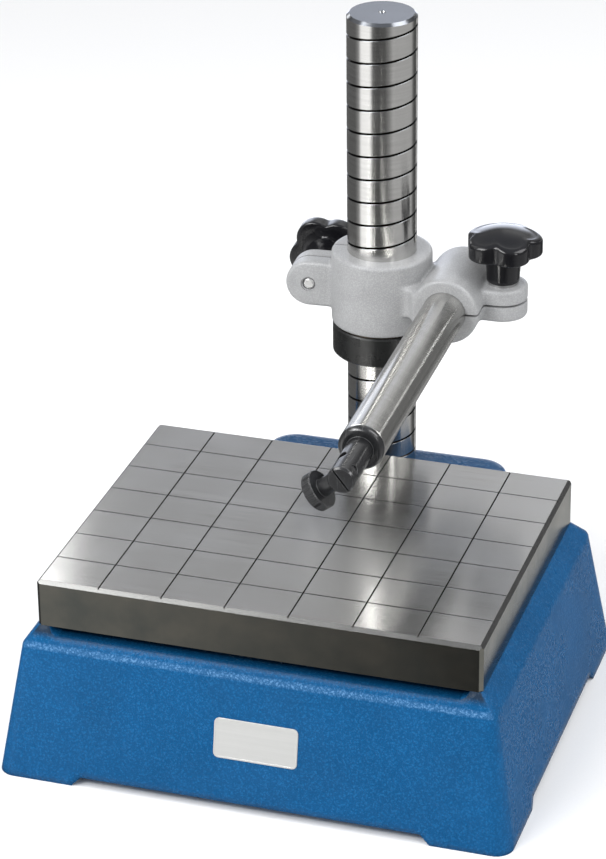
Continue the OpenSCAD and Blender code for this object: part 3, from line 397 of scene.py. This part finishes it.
# the column's groove is left as it was cut and painted dark inside, a painted shade, and its top is painted
# darker than its side, a painted shade too
def columnTones(tree, place, colour):
    parts = splitVector(tree, moveVector(tree, "SUBTRACT", place, (0, columnShape["y"] * mm, 0)))
    away = calc(tree, "SQRT", calc(tree, "ADD", calc(tree, "MULTIPLY", parts["X"], parts["X"]),
                                   calc(tree, "MULTIPLY", parts["Y"], parts["Y"])))
    begins, full = ((columnShape["radius"] - under) * mm for under in grooveShade["under"])
    # painted shade: the groove is darkened inside
    shadedGroove = calc(tree, "MULTIPLY", spread(tree, away, begins, full),
                 calc(tree, "GREATER_THAN", away, (columnShape["radius"] - grooveShade["deepest"]) * mm))
    begins, full = ((columnShape["top"] - under) * mm for under in grooveShade["fromTop"])
    shadedGroove = calc(tree, "MULTIPLY", shadedGroove, spread(tree, parts["Z"], begins, full))
    # painted shade: the column's top face is darkened
    up = splitVector(tree, put(tree, "ShaderNodeTexCoord").outputs["Normal"])["Z"]
    faced = moveVector(tree, "MULTIPLY", colour, columnShape["topShade"])
    colour = mixColours(tree, spread(tree, up, 0.3, 0.6), colour, faced)
    return mixColours(tree, shadedGroove, colour, grooveShade["colour"])


alongY = (math.radians(90), 0, 0)
finish = {
    "base_paint": hammerPaint(
        "bluePaint", (0.0034, 0.065, 0.178), (0.0056, 0.085, 0.224), (0.0085, 0.108, 0.272), cell=0.0018,
        depth=0.00013, rough=(0.24, 0.32), edge=0.007, inside=baseTones, Specular_IOR_Level=0.15),
    "clamp_paint": hammerPaint(
        "greyPaint", (0.295, 0.298, 0.302), (0.355, 0.358, 0.362), (0.40, 0.403, 0.408), cell=0.0010,
        depth=0.00005, rough=(0.34, 0.44), Specular_IOR_Level=0.4, Coat_Weight=0.15, Coat_Roughness=0.2),
    "ground_steel": cutSteel(
        "tableSteel", (0.53, 0.525, 0.51), (0.57, 0.565, 0.55), rough=(0.17, 0.23), fine=5000.0, turn=alongY,
        depth=2.5e-6, edge=0.0003, inside=tableTones, along=(0, 0.9, 0.43), Anisotropic=0.75),
    "column_steel": cutSteel(
        "columnSteel", (0.60, 0.595, 0.58), (0.68, 0.675, 0.66), rough=(0.18, 0.23), fine=5000.0,
        inside=columnTones, along=(0, 0.05, 1), Anisotropic=0.9),
    "arm_steel": cutSteel(
        "armSteel", (0.53, 0.525, 0.505), (0.60, 0.595, 0.575), rough=(0.19, 0.24), fine=5000.0, turn=alongY,
        along=(0, 1, 0.05), Anisotropic=0.9),
    "screw_steel": cutSteel(
        "screwSteel", (0.42, 0.42, 0.42), (0.52, 0.52, 0.52), rough=(0.22, 0.34), fine=3000.0, edge=0.0004),
    # the washer's bronze is painted dark, a painted shade between the clamp and the nut
    "thrust_bronze": cutSteel(
        "shadedWasherBronze", (0.12, 0.09, 0.06), (0.17, 0.13, 0.09), rough=(0.3, 0.45), fine=3000.0),
    "insert_brass": cutSteel(
        "insertBrass", (0.48, 0.34, 0.12), (0.60, 0.44, 0.18), rough=(0.22, 0.34), fine=3000.0),
    "black_nut": blackSkin(
        "nutBlack", (0.009, 0.0095, 0.0095), (0.12, 0.12, 0.12), rough=(0.24, 0.34), fine=2600.0,
        depth=0.00001, edge=0.0005, Specular_IOR_Level=0.5),
    "knob_plastic": blackSkin(
        "knobBlack", (0.006, 0.006, 0.0075), (0.03, 0.03, 0.035), rough=(0.13, 0.20), fine=900.0,
        depth=0.000008, Specular_IOR_Level=0.5),
    "holder_black": blackSkin(
        "holderBlack", (0.013, 0.0135, 0.0145), (0.17, 0.17, 0.175), rough=(0.19, 0.27), fine=2600.0,
        depth=0.00001, edge=0.0006, turn=alongY, wear=0.6, Specular_IOR_Level=0.8),
}
studSteel = cutSteel(
    "studSteel", (0.70, 0.70, 0.70), (0.82, 0.82, 0.82), rough=(0.38, 0.5), fine=3000.0, edge=0.0006)
for part in frame["record"]["subparts"]:
    nodes[part["node"]].material_slots[0].material = finish[part["material_slot"]]
for stud in ("column_clamp_stud", "arm_clamp_stud"):
    nodes[stud].material_slots[0].material = studSteel
print("finishes made:", len(finish))


# the piece shows in place of the CAD node and moves with its body
def standFor(piece, node):
    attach(piece, nodes[node]["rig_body"])
    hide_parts(node)


def meshObject(name, mesh, material, sharpAngle):
    piece = bpy.data.objects.new(name, mesh)
    bpy.context.scene.collection.objects.link(piece)
    mesh.materials.clear()
    mesh.materials.append(material)
    mesh.shade_smooth()
    mesh.set_sharp_from_angle(angle=math.radians(sharpAngle))
    return piece


def settled(piece):
    depsgraph = bpy.context.evaluated_depsgraph_get()
    mesh = bpy.data.meshes.new_from_object(piece.evaluated_get(depsgraph))
    piece.modifiers.clear()
    return mesh


# angles of a quarter turn, in equal steps
def quarterTurn(steps, first=0):
    return [math.radians(first + 90 * i / steps) for i in range(steps + 1)]


# faces between rings of as many points each
def joinRings(b, rings):
    n = len(rings[0])
    for low, high in zip(rings, rings[1:]):
        for i in range(n):
            b.faces.new((low[i], low[(i + 1) % n], high[(i + 1) % n], high[i]))


# the column follows a rule: a spiral groove round a bar, so a node tree bends a grid into it.
# Rows of the grid run along the groove, so both edges of the groove stay clean
def makeColumnTree():
    tree = bpy.data.node_groups.new("spiralColumn", "GeometryNodeTree")
    tree.interface.new_socket("Geometry", in_out="OUTPUT", socket_type="NodeSocketGeometry")
    ids = {}
    for label in ("radius", "foot", "top", "pitch", "start", "width", "depth", "edge",
                  "topBevel", "footBevel", "hole", "y"):
        socket = tree.interface.new_socket(label, in_out="INPUT", socket_type="NodeSocketFloat")
        ids[label] = socket.identifier
    for label in ("around", "turns"):
        socket = tree.interface.new_socket(label, in_out="INPUT", socket_type="NodeSocketInt")
        ids[label] = socket.identifier
    socket = tree.interface.new_socket("material", in_out="INPUT", socket_type="NodeSocketMaterial")
    ids["material"] = socket.identifier
    given = tree.nodes.new("NodeGroupInput").outputs
    out = tree.nodes.new("NodeGroupOutput").inputs

    def reckon(operation, *values):
        return calc(tree, operation, *values)

    def pick(index, values):
        node = put(tree, "GeometryNodeIndexSwitch", data_type="FLOAT")
        while len(node.index_switch_items) < len(values):
            node.index_switch_items.new()
        connect(tree, index, node.inputs["Index"])
        for place, value in enumerate(values):
            connect(tree, value, node.inputs[place + 1])
        return node.outputs[0]

    def choose(test, no, yes):
        return reckon("ADD", no, reckon("MULTIPLY", test, reckon("SUBTRACT", yes, no)))

    turnRows, footRows, topRows = 7, 2, 3
    spiralRows = reckon("MULTIPLY", given["turns"], turnRows)
    rows = reckon("ADD", spiralRows, footRows + topRows)
    columns = reckon("ADD", given["around"], 1)
    grid = put(tree, "GeometryNodeMeshGrid", {"Vertices X": columns, "Vertices Y": rows})
    index = put(tree, "GeometryNodeInputIndex").outputs[0]
    column = reckon("FLOOR", reckon("DIVIDE", reckon("ADD", index, 0.5), rows))
    row = reckon("SUBTRACT", index, reckon("MULTIPLY", column, rows))
    share = reckon("DIVIDE", column, given["around"])
    angle = reckon("MULTIPLY", share, 2 * math.pi)

    # rows of the spiral: seven to a turn, across the groove and over the land beside it
    inner = reckon("SUBTRACT", row, footRows)
    turn = reckon("FLOOR", reckon("DIVIDE", reckon("ADD", inner, 0.5), turnRows))
    step = reckon("SUBTRACT", inner, reckon("MULTIPLY", turn, turnRows))
    half = reckon("MULTIPLY", given["width"], 0.5)
    lipShare, floorShare = 0.7, 0.93
    lip = reckon("MULTIPLY", given["edge"], lipShare)
    offsets = [
        reckon("SUBTRACT", reckon("MULTIPLY", half, -1), given["edge"]), reckon("MULTIPLY", half, -1),
        reckon("MULTIPLY", half, -floorShare), reckon("MULTIPLY", half, floorShare), half,
        reckon("ADD", half, given["edge"]), reckon("MULTIPLY", given["pitch"], 0.5)]
    begun = reckon("SUBTRACT", share, reckon("DIVIDE", given["start"], 360))
    along = reckon("ADD", begun, reckon("SUBTRACT", turn, 1))
    height = reckon("ADD", reckon("MULTIPLY", along, given["pitch"]), pick(step, offsets))
    length = reckon("SUBTRACT", given["top"], given["foot"])
    highest = reckon("SUBTRACT", length, given["topBevel"])
    held = reckon("MINIMUM", reckon("MAXIMUM", height, given["footBevel"]), highest)
    free = reckon("COMPARE", height, held, 1e-4)
    depths = [0.0, lip, given["depth"], given["depth"], lip, 0.0, 0.0]
    cut = reckon("MULTIPLY", free, pick(step, depths))
    spiralRadius = reckon("SUBTRACT", given["radius"], cut)

    # rows of the two ends: the foot's bevel, then the top's bevel and its centre hole
    past = reckon("SUBTRACT", row, reckon("ADD", spiralRows, footRows))
    isFoot, isTop = reckon("LESS_THAN", row, 1.5), reckon("GREATER_THAN", past, -0.5)
    footEdge = reckon("SUBTRACT", given["radius"], given["footBevel"])
    footRadius = pick(reckon("MINIMUM", row, 1), [0.0, footEdge])
    pastHeld = reckon("MAXIMUM", past, 0)
    topEdge = reckon("SUBTRACT", given["radius"], given["topBevel"])
    topRadius = pick(pastHeld, [topEdge, given["hole"], 0.0])
    topHeight = reckon("SUBTRACT", length, pick(pastHeld, [0.0, 0.0, reckon("MULTIPLY", given["hole"], 2)]))
    radius = choose(isTop, choose(isFoot, spiralRadius, footRadius), topRadius)
    level = reckon("ADD", choose(isTop, choose(isFoot, held, 0.0), topHeight), given["foot"])
    across = reckon("MULTIPLY", radius, reckon("COSINE", angle))
    back = reckon("ADD", reckon("MULTIPLY", radius, reckon("SINE", angle)), given["y"])
    place = put(tree, "ShaderNodeCombineXYZ", {"X": across, "Y": back, "Z": level}).outputs[0]
    place = moveVector(tree, "SCALE", place, mm)
    bent = put(tree, "GeometryNodeSetPosition", {"Geometry": grid.outputs["Mesh"], "Position": place})
    welded = put(tree, "GeometryNodeMergeByDistance", {
        "Geometry": bent.outputs[0], "Distance": weldWithin})
    real = put(tree, "GeometryNodeRealizeInstances", {"Geometry": welded.outputs[0]})
    done = put(tree, "GeometryNodeSetMaterial", {"Geometry": real.outputs[0], "Material": given["material"]})
    connect(tree, done.outputs[0], out["Geometry"])
    return tree, ids


def makeColumn(s, material):
    carrier = bpy.data.objects.new("columnMaker", bpy.data.meshes.new("columnMaker"))
    bpy.context.scene.collection.objects.link(carrier)
    tree, ids = makeColumnTree()
    maker = carrier.modifiers.new("spiral", "NODES")
    maker.node_group = tree
    for label, identifier in ids.items():
        maker[identifier] = material if label == "material" else s[label]
    mesh = settled(carrier)
    bpy.data.objects.remove(carrier)
    b = bmesh.new()
    b.from_mesh(mesh)
    bmesh.ops.dissolve_degenerate(b, dist=weldWithin, edges=b.edges)
    bmesh.ops.recalc_face_normals(b, faces=b.faces)
    b.to_mesh(mesh)
    b.free()
    return meshObject("groovedColumn", mesh, material, sharpAngle=25)


column = makeColumn(columnShape, finish["column_steel"])
standFor(column, "column")
print("column:", len(column.data.polygons), "faces")

# places of the clamp's parts, as the source has them
clampPlace = {
    "height": 244.0, "swing": 1.0, "earTurn": 3.0, "earReach": 49.5, "offset": 53.6, "armEarReach": 32.4,
    "columnKnobGap": 17.8, "columnKnobTurn": 19.0, "armKnobGap": 13.0, "armKnobTurn": 15.0,
}


def shiftBy(x=0.0, y=0.0, z=0.0):
    return Matrix.Translation((x * mm, y * mm, z * mm))


def spin(degrees, axis="Z"):
    return Matrix.Rotation(math.radians(degrees), 4, axis)


clampCentre = shiftBy(0, columnShape["y"], clampPlace["height"]) @ spin(clampPlace["swing"])
columnEars = clampCentre @ spin(clampPlace["earTurn"]) @ shiftBy(-clampPlace["earReach"])
columnScrew = columnEars @ spin(-90, "X")
armCentre = clampCentre @ shiftBy(clampPlace["offset"])
armEars = armCentre @ shiftBy(clampPlace["armEarReach"])


# moulded star knobs: lobes and valleys as arcs, a domed top and soft edges.
# The sole's rim: how far past the foot, and how high. The underside: the share of the way out, and how
# far past the hub
knobShape = {
    "lobes": 5, "radius": 26.75, "lobe": 13.0, "valley": 5.0, "height": 37.95, "hub": 20.0, "foot": 11.3,
    "hubTop": 12.8, "dome": 8.0, "topRound": 5.2, "crownRise": 0.72, "lowRound": 1.6, "around": 200,
    "sole": ((-1.2, 0.4), (-0.8, 0.0), (-0.3, 0.12), (0.0, 0.6)), "neck": 1.8, "flare": 1.5,
    "hubLip": (0.5, -0.6), "underside": ((0.25, 0.1), (0.6, 0.0)), "underStart": 0.6, "wall": 4.5,
    "capShares": (0.86, 0.72, 0.58, 0.44, 0.3, 0.16, 0.07),
    "neckSteps": 6, "lowSteps": 6, "crownSteps": 10,
}


def starRadius(s, angle):
    half = math.pi / s["lobes"]
    run = s["radius"] - s["lobe"]
    off = abs((angle + half) % (2 * half) - half)
    far = run * math.cos(half) + math.sqrt((s["lobe"] + s["valley"]) ** 2 - (run * math.sin(half)) ** 2)
    touchAngle = math.atan2(far * math.sin(half), far * math.cos(half) - run)
    touch = math.atan2(s["lobe"] * math.sin(touchAngle), run + s["lobe"] * math.cos(touchAngle))
    if off < touch:
        return run * math.cos(off) + math.sqrt(max(s["lobe"] ** 2 - (run * math.sin(off)) ** 2, 0))
    off = half - off
    return far * math.cos(off) - math.sqrt(max(s["valley"] ** 2 - (far * math.sin(off)) ** 2, 0))


# the knob's rows from its sole to its cap: what kind each is, and one or two measures of it
def knobRows(s):
    rows = [("round", s["foot"] + past, height) for past, height in s["sole"]]
    lip = s["sole"][-1][1]
    for i in range(1, s["neckSteps"] + 1):
        t = i / s["neckSteps"]
        out = s["foot"] + (s["hubTop"] - s["foot"]) * t ** s["flare"]
        rows.append(("round", out, lip + (s["hub"] - s["neck"] - lip) * t))
    out, past = s["hubLip"]
    rows.append(("round", s["hubTop"] + out, s["hub"] + past))
    rows += [("blend", share, s["hub"] + past) for share, past in s["underside"]]
    for a in quarterTurn(s["lowSteps"]):
        inset, rise = 1 - math.sin(a), 1 - math.cos(a)
        rows.append(("inset", s["lowRound"] * inset, s["hub"] + s["lowRound"] * rise))
    rows.append(("inset", 0.0, s["hub"] + s["wall"]))
    rows += [("crown", a, 0.0) for a in quarterTurn(s["crownSteps"])]
    return rows + [("cap", share, 0.0) for share in s["capShares"]]


# radius and height of a row where the star's outline is so far out
def knobPoint(s, row, outline, narrowest):
    kind, first, second = row
    if kind == "round":
        return first, second
    if kind == "blend":
        low = s["hubTop"] + s["underStart"]
        return low + (outline - s["lowRound"] - low) * first, second
    if kind == "inset":
        return outline - first, second

    def domeAt(r):
        return s["height"] - s["dome"] * (r / s["radius"]) ** 2

    meet = outline - s["topRound"]
    if kind == "crown":  # a quarter ellipse from the wall up onto the dome
        rise = s["crownRise"] * s["topRound"]
        return outline - s["topRound"] * (1 - math.cos(first)), domeAt(meet) - rise * (1 - math.sin(first))
    starShare = first ** 2
    r = first * (starShare * meet + (1 - starShare) * (narrowest - s["topRound"]))
    return r, domeAt(r)


def makeStarKnob(name, s, place, material):
    b = bmesh.new()
    n = s["around"]
    turns = [2 * math.pi * i / n for i in range(n)]
    star = [starRadius(s, a) for a in turns]
    narrowest = min(star)

    def pointAt(x, y, z):
        return b.verts.new(place @ Vector((x * mm, y * mm, z * mm)))

    rings = []
    for row in knobRows(s):
        ring = []
        for a, outline in zip(turns, star):
            r, z = knobPoint(s, row, outline, narrowest)
            ring.append(pointAt(r * math.cos(a), r * math.sin(a), z))
        rings.append(ring)
    sole, tip = pointAt(0, 0, s["sole"][0][1]), pointAt(0, 0, s["height"])
    joinRings(b, rings)
    for i in range(n):
        b.faces.new((sole, rings[0][(i + 1) % n], rings[0][i]))
        b.faces.new((tip, rings[-1][i], rings[-1][(i + 1) % n]))
    bmesh.ops.recalc_face_normals(b, faces=b.faces)
    mesh = bpy.data.meshes.new(name)
    b.to_mesh(mesh)
    b.free()
    return meshObject(name, mesh, material, sharpAngle=50)


knobPlaces = {
    "arm": armEars @ shiftBy(0, 0, clampPlace["armKnobGap"]) @ spin(clampPlace["armKnobTurn"]),
    "column": columnScrew @ shiftBy(0, 0, clampPlace["columnKnobGap"]) @ spin(clampPlace["columnKnobTurn"]),
}
for which, place in knobPlaces.items():
    knob = makeStarKnob(which + "StarKnob", knobShape, place, finish["knob_plastic"])
    standFor(knob, which + "_clamp_knob")
print("star knobs:", len(knob.data.polygons), "faces each")

# the clamp is a casting: its rough form is softened all over, then bores, slits and holes are cut.
# Before that the CAD's own holes are filled, with fillers that stay a little inside the faces
castingShape = {
    "voxel": 0.95, "softening": 7, "softShare": 0.5, "weld": 0.002,
    "columnBore": 24.05, "armBore": 15.05, "slit": 1.6, "bossHeight": 53.0, "armFront": 36.0,
    "armBack": 27.0, "earRadius": 16.4, "earHalf": 12.5, "armEarRadius": 17.2, "upperEar": 10.4,
    "lowerEar": 11.2, "studHole": 4.5, "mouth": 5.5, "columnMouthDeep": 1.0, "armMouthDeep": 0.2,
    "slitEnds": (-20, 37), "armSlitEnds": (-24.9, 20), "studRun": 20, "overrun": 2,
    "fillPast": 2, "fillInset": 1.4, "fillSkin": 0.02, "armEarProud": 0.78, "fillThick": 2, "fillRun": 32,
    "fillSides": 96, "boreSides": 160, "armBoreSides": 128, "holeSides": 48,
}


def addDrum(b, place, radius, low, high, sides):
    tall = (high - low) * mm
    middle = place @ shiftBy(0, 0, (low + high) / 2)
    bmesh.ops.create_cone(
        b, cap_ends=True, segments=sides, radius1=radius * mm, radius2=radius * mm, depth=tall, matrix=middle)


def addBlock(b, place, low, high):
    size = [(h - l) * mm for l, h in zip(low, high)]
    middle = place @ shiftBy(*[(l + h) / 2 for l, h in zip(low, high)])
    bmesh.ops.create_cube(b, size=1.0, matrix=middle @ Matrix.Diagonal((*size, 1)))


def cutAway(mesh, cutters):
    piece = bpy.data.objects.new("cutting", mesh)
    bpy.context.scene.collection.objects.link(piece)
    tools = []
    for number, fill in enumerate(cutters):
        b = bmesh.new()
        fill(b)
        tool = bpy.data.objects.new("cutter", bpy.data.meshes.new("cutter"))
        b.to_mesh(tool.data)
        b.free()
        bpy.context.scene.collection.objects.link(tool)
        cut = piece.modifiers.new("cut" + str(number), "BOOLEAN")
        cut.operation, cut.solver, cut.object = "DIFFERENCE", "EXACT", tool
        tools.append(tool)
    result = settled(piece)
    for extra in (*tools, piece):
        bpy.data.objects.remove(extra)
    return result


def softBlank(s):
    b = bmesh.new()
    b.from_mesh(nodes["clamp_body"].data)
    bmesh.ops.remove_doubles(b, verts=b.verts, dist=s["weld"] * mm)
    half = s["bossHeight"] / 2
    skin, proud, thick, run = s["fillSkin"], s["armEarProud"], s["fillThick"], s["fillRun"]
    ear, armEar = s["earRadius"] - s["fillInset"], s["armEarRadius"] - s["fillInset"]
    bore, armBore = s["columnBore"] + s["fillPast"], s["armBore"] + s["fillPast"]
    armBack, armFront = skin - s["armBack"], s["armFront"] - skin
    sides = s["fillSides"]
    addDrum(b, clampCentre, bore, skin - half, half - skin, sides)
    addDrum(b, armCentre @ spin(90, "X"), armBore, armBack, armFront, sides)
    addDrum(b, columnScrew, ear, skin - s["earHalf"], s["earHalf"] - skin, sides)
    addBlock(b, columnEars, (0, -thick, -ear), (run, thick, ear))
    addDrum(b, armEars, armEar, -s["lowerEar"] - proud, s["upperEar"] + proud, sides)
    addBlock(b, armEars, (-run, -armEar, -thick), (0, armEar, thick))
    mesh = bpy.data.meshes.new("castingBlank")
    b.to_mesh(mesh)
    b.free()
    blank = bpy.data.objects.new("castingBlank", mesh)
    bpy.context.scene.collection.objects.link(blank)
    remesh = blank.modifiers.new("voxels", "REMESH")
    remesh.mode, remesh.voxel_size = "VOXEL", s["voxel"] * mm
    soften = blank.modifiers.new("soften", "SMOOTH")
    soften.factor, soften.iterations = s["softShare"], s["softening"]
    soft = settled(blank)
    bpy.data.objects.remove(blank)
    return soft


def makeCasting(s, material):
    slit, run, past = s["slit"] / 2, s["studRun"], s["overrun"]
    half = s["bossHeight"] / 2 + past
    back, front = s["armBack"] + past, s["armFront"] + past
    slitLow, slitHigh = s["slitEnds"]
    armSlitLow, armSlitHigh = s["armSlitEnds"]
    columnMouth, armMouth = s["columnMouthDeep"] - s["earHalf"], s["armMouthDeep"] - s["lowerEar"]
    hole, mouth, sides = s["studHole"], s["mouth"], s["holeSides"]
    cut = cutAway(softBlank(s), [
        lambda b: addDrum(b, clampCentre, s["columnBore"], -half, half, s["boreSides"]),
        lambda b: addDrum(b, armCentre @ spin(90, "X"), s["armBore"], -back, front, s["armBoreSides"]),
        lambda b: addBlock(b, columnEars, (slitLow, -slit, -half), (slitHigh, slit, half)),
        lambda b: addBlock(b, armEars, (armSlitLow, -front, -slit), (armSlitHigh, back, slit)),
        lambda b: addDrum(b, columnScrew, hole, -run, run, sides),
        lambda b: addDrum(b, columnScrew, mouth, -run, columnMouth, sides),
        lambda b: addDrum(b, armEars, hole, -run, run, sides),
        lambda b: addDrum(b, armEars, mouth, -run, armMouth, sides),
    ])
    return meshObject("clampCasting", cut, material, sharpAngle=35)


casting = makeCasting(castingShape, finish["clamp_paint"])
standFor(casting, "clamp_body")
print("clamp casting:", len(casting.data.polygons), "faces")

# the label plate on the front wall stays bare
labelShape = {
    "low": (-24.8, 36.5), "high": (32.0, 63.7), "corner": 3.5, "cornerSteps": 8, "sink": 0.1, "thick": 0.7,
    "chamfer": 0.2, "rim": 1.1, "sunk": 0.12, "crestY": -161.718, "crestZ": 93.3, "lean": 10.428,
}


def makeLabelMetal():
    material, tree, shader, place = newMaterial(
        "labelMetal", Metallic=0.25, Coat_Weight=0.3, Coat_Roughness=0.2)
    brushed = useGroup(tree, toolMarks, {"Position": place, "Fine": 4000.0})
    touched = useGroup(tree, handling, {"Position": place, "Size": 0.015})
    colour = mixColours(tree, brushed["Streak"], (0.52, 0.52, 0.505), (0.57, 0.57, 0.555))
    colour = mixColours(tree, calc(tree, "MULTIPLY", touched["Smudge"], 0.25), colour, (0.5, 0.5, 0.49))
    connect(tree, colour, shader["Base Color"])
    connect(tree, spread(tree, touched["Smudge"], 0, 1, 0.3, 0.42), shader["Roughness"])
    soft = useGroup(tree, softEdge, {"Radius": 0.0003})
    raised = {"Height": brushed["Height"], "Distance": 3e-6, "Normal": soft["Normal"]}
    connect(tree, put(tree, "ShaderNodeBump", raised).outputs[0], shader["Normal"])
    return material


def makeLabel(s):
    lean = math.radians(s["lean"])
    up = Vector((0, math.sin(lean), math.cos(lean)))
    out = Vector((0, -math.cos(lean), math.sin(lean)))
    (left, low), (right, high), corner = s["low"], s["high"], s["corner"]
    middles = ((right - corner, high - corner, 0), (left + corner, high - corner, 90),
               (left + corner, low + corner, 180), (right - corner, low + corner, 270))
    outline = [(x + corner * math.cos(a), z + corner * math.sin(a), math.cos(a), math.sin(a))
               for x, z, first in middles for a in quarterTurn(s["cornerSteps"], first)]
    # each row: how far in from the outline, and how far out of the wall
    thick, chamfer, rim, sunk = s["thick"], s["chamfer"], s["rim"], s["thick"] - s["sunk"]
    rows = ((0, -s["sink"]), (0, thick - chamfer), (chamfer, thick), (rim, thick),
            (rim + chamfer, sunk), (rim * 2, sunk))
    b = bmesh.new()
    rings = []
    for inset, lift in rows:
        ring = []
        for x, z, dx, dz in outline:
            px, pz = x - dx * inset, z - dz * inset
            onWall = Vector((px, s["crestY"], s["crestZ"])) - up * ((s["crestZ"] - pz) / math.cos(lean))
            ring.append(b.verts.new((onWall + out * lift) * mm))
        rings.append(ring)
    joinRings(b, rings)
    b.faces.new(rings[-1])
    b.faces.new(rings[0][::-1])
    bmesh.ops.recalc_face_normals(b, faces=b.faces)
    mesh = bpy.data.meshes.new("labelPlate")
    b.to_mesh(mesh)
    b.free()
    piece = meshObject("labelPlate", mesh, makeLabelMetal(), sharpAngle=30)
    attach(piece, nodes["base_casting"]["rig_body"])


makeLabel(labelShape)
print("label plate made")

# a pale floor, larger than any view of it; reflections look past it at the studio
floorShape = {"reach": 9, "drop": 0.0002, "paper": ((0.86, 0.86, 0.86), (0.9, 0.9, 0.9))}


def makeFloor(s):
    r, z = s["reach"], -s["drop"]
    mesh = bpy.data.meshes.new("floor")
    mesh.from_pydata([(-r, -r, z), (r, -r, z), (r, r, z), (-r, r, z)], [], [(0, 1, 2, 3)])
    floor = bpy.data.objects.new("floor", mesh)
    bpy.context.scene.collection.objects.link(floor)
    paper, tree, shader, place = newMaterial("floorPaper", Roughness=0.9)
    fibres = put(tree, "ShaderNodeTexNoise", {"Vector": place, "Scale": 600.0, "Detail": 3.0}).outputs["Fac"]
    connect(tree, mixColours(tree, fibres, *s["paper"]), shader["Base Color"])
    mesh.materials.append(paper)
    floor.visible_glossy = False


makeFloor(floorShape)

# soft lights: azimuth, elevation, distance, size, power and what each aims at
middle = (0, 0, 0.15)
softboxes = {
    "keyBox": (-55, 48, 1.6, (0.8, 0.8), 11.5, middle),
    "topBox": (100, 50, 2.2, (1.4, 1.4), 24, middle),
    "crestBox": (-25, 38, 2.2, (1.0, 0.34), 22, middle),
    "stripBox": (54, 27, 2.0, (0.28, 0.9), 5, middle),
    "rearBox": (-154, 29, 0.9, (0.16, 0.16), 0.24, (-0.16, -0.165, 0.138)),
}


def placeSoftbox(name, azimuth, elevation, distance, size, power, target):
    a, e = math.radians(azimuth), math.radians(elevation)
    away = Vector((math.sin(a) * math.cos(e), -math.cos(a) * math.cos(e), math.sin(e)))
    data = bpy.data.lights.new(name, "AREA")
    data.shape, data.size, data.size_y, data.energy = "RECTANGLE", size[0], size[1], power
    light = bpy.data.objects.new(name, data)
    bpy.context.scene.collection.objects.link(light)
    light.location = Vector(target) + away * distance
    light.rotation_euler = away.to_track_quat("Z", "Y").to_euler()
    light.visible_camera = False


for name, values in softboxes.items():
    placeSoftbox(name, *values)
print("floor and lights placed")

# the studio's cards and dark gaps: how bright it is along a turn round the part, seen below and above level
studioShape = {
    "below": [
        (0.0, 0.08), (0.275, 0.07), (0.32, 0.22), (0.345, 0.9), (0.43, 0.9), (0.46, 0.025), (0.57, 0.05),
        (0.66, 0.34), (0.85, 0.34), (0.885, 0.08), (0.93, 0.03), (0.952, 0.05), (0.96, 0.55), (0.975, 0.55),
        (0.985, 0.08)],
    "above": [
        (0.0, 0.45), (0.034, 0.40), (0.042, 0.33), (0.0475, 0.24), (0.053, 0.20), (0.06, 0.225), (0.08, 0.2),
        (0.2, 0.22), (0.31, 0.22), (0.34, 0.55), (0.43, 0.55), (0.45, 0.12), (0.56, 0.12), (0.7, 0.22),
        (0.85, 0.20), (0.9, 0.14), (0.935, 0.12), (0.96, 0.32), (1.0, 0.45)],
    "aboveFrom": (0.435, 0.48), "aboveGain": (0.8, 1.3), "horizon": (-0.3, -0.18),
    "skyline": (1.5, 1.58, 1.8), "skylineUp": (0.42, 0.16), "skylineAt": -0.27, "skylineAside": (0.34, 0.16),
    "overhead": (0.3, 0.31, 0.33), "overheadFrom": (0.5, 0.85),
    "armStrip": (2.6, 2.6, 2.6), "stripRoll": (1.2, 0.02), "stripAlong": (0.84, 0.09),
    "fill": (0.44, 0.445, 0.455), "strength": 1.6,
}


# only reflections see the cards as such; everything else gets an even fill
def makeStudio(s):
    world = bpy.data.worlds.new("studio")
    bpy.context.scene.world = world
    world.use_nodes = True
    tree = world.node_tree
    x, y, z = splitVector(tree, put(tree, "ShaderNodeTexCoord").outputs["Generated"])
    azimuth = calc(tree, "ARCTAN2", x, calc(tree, "MULTIPLY", y, -1))
    azimuth = calc(tree, "MULTIPLY_ADD", azimuth, 1 / (2 * math.pi), 0.5)
    below = rampOf(tree, azimuth, s["below"])
    above = rampOf(tree, azimuth, s["above"])
    above = moveVector(tree, "SCALE", above, spread(tree, z, *s["aboveFrom"], *s["aboveGain"]))
    # a bright band low in the distance, as the far rims see it
    aside = calc(tree, "ABSOLUTE", calc(tree, "SUBTRACT", x, s["skylineAt"]))
    skyline = calc(tree, "MULTIPLY", spread(tree, z, *s["skylineUp"], soft=True),
                   spread(tree, aside, *s["skylineAside"], soft=True))
    skyline = calc(tree, "MULTIPLY", skyline, calc(tree, "GREATER_THAN", y, 0))
    above = mixColours(tree, skyline, above, s["skyline"])
    overhead = mixColours(tree, spread(tree, z, *s["overheadFrom"], soft=True), above, s["overhead"])
    room = mixColours(tree, spread(tree, z, *s["horizon"], soft=True), below, overhead)
    # a strip light behind on the right, as the arm sees it
    roll = calc(tree, "ARCTAN2", x, z)
    onStrip = calc(tree, "MULTIPLY", calc(tree, "COMPARE", roll, *s["stripRoll"]),
                   calc(tree, "COMPARE", y, *s["stripAlong"]))
    room = mixColours(tree, onStrip, room, s["armStrip"])
    rays = put(tree, "ShaderNodeLightPath").outputs
    background = tree.nodes["Background"]
    connect(tree, mixColours(tree, rays["Is Glossy Ray"], s["fill"], room), background.inputs["Color"])
    background.inputs["Strength"].default_value = s["strength"]


makeStudio(studioShape)
print("studio made")
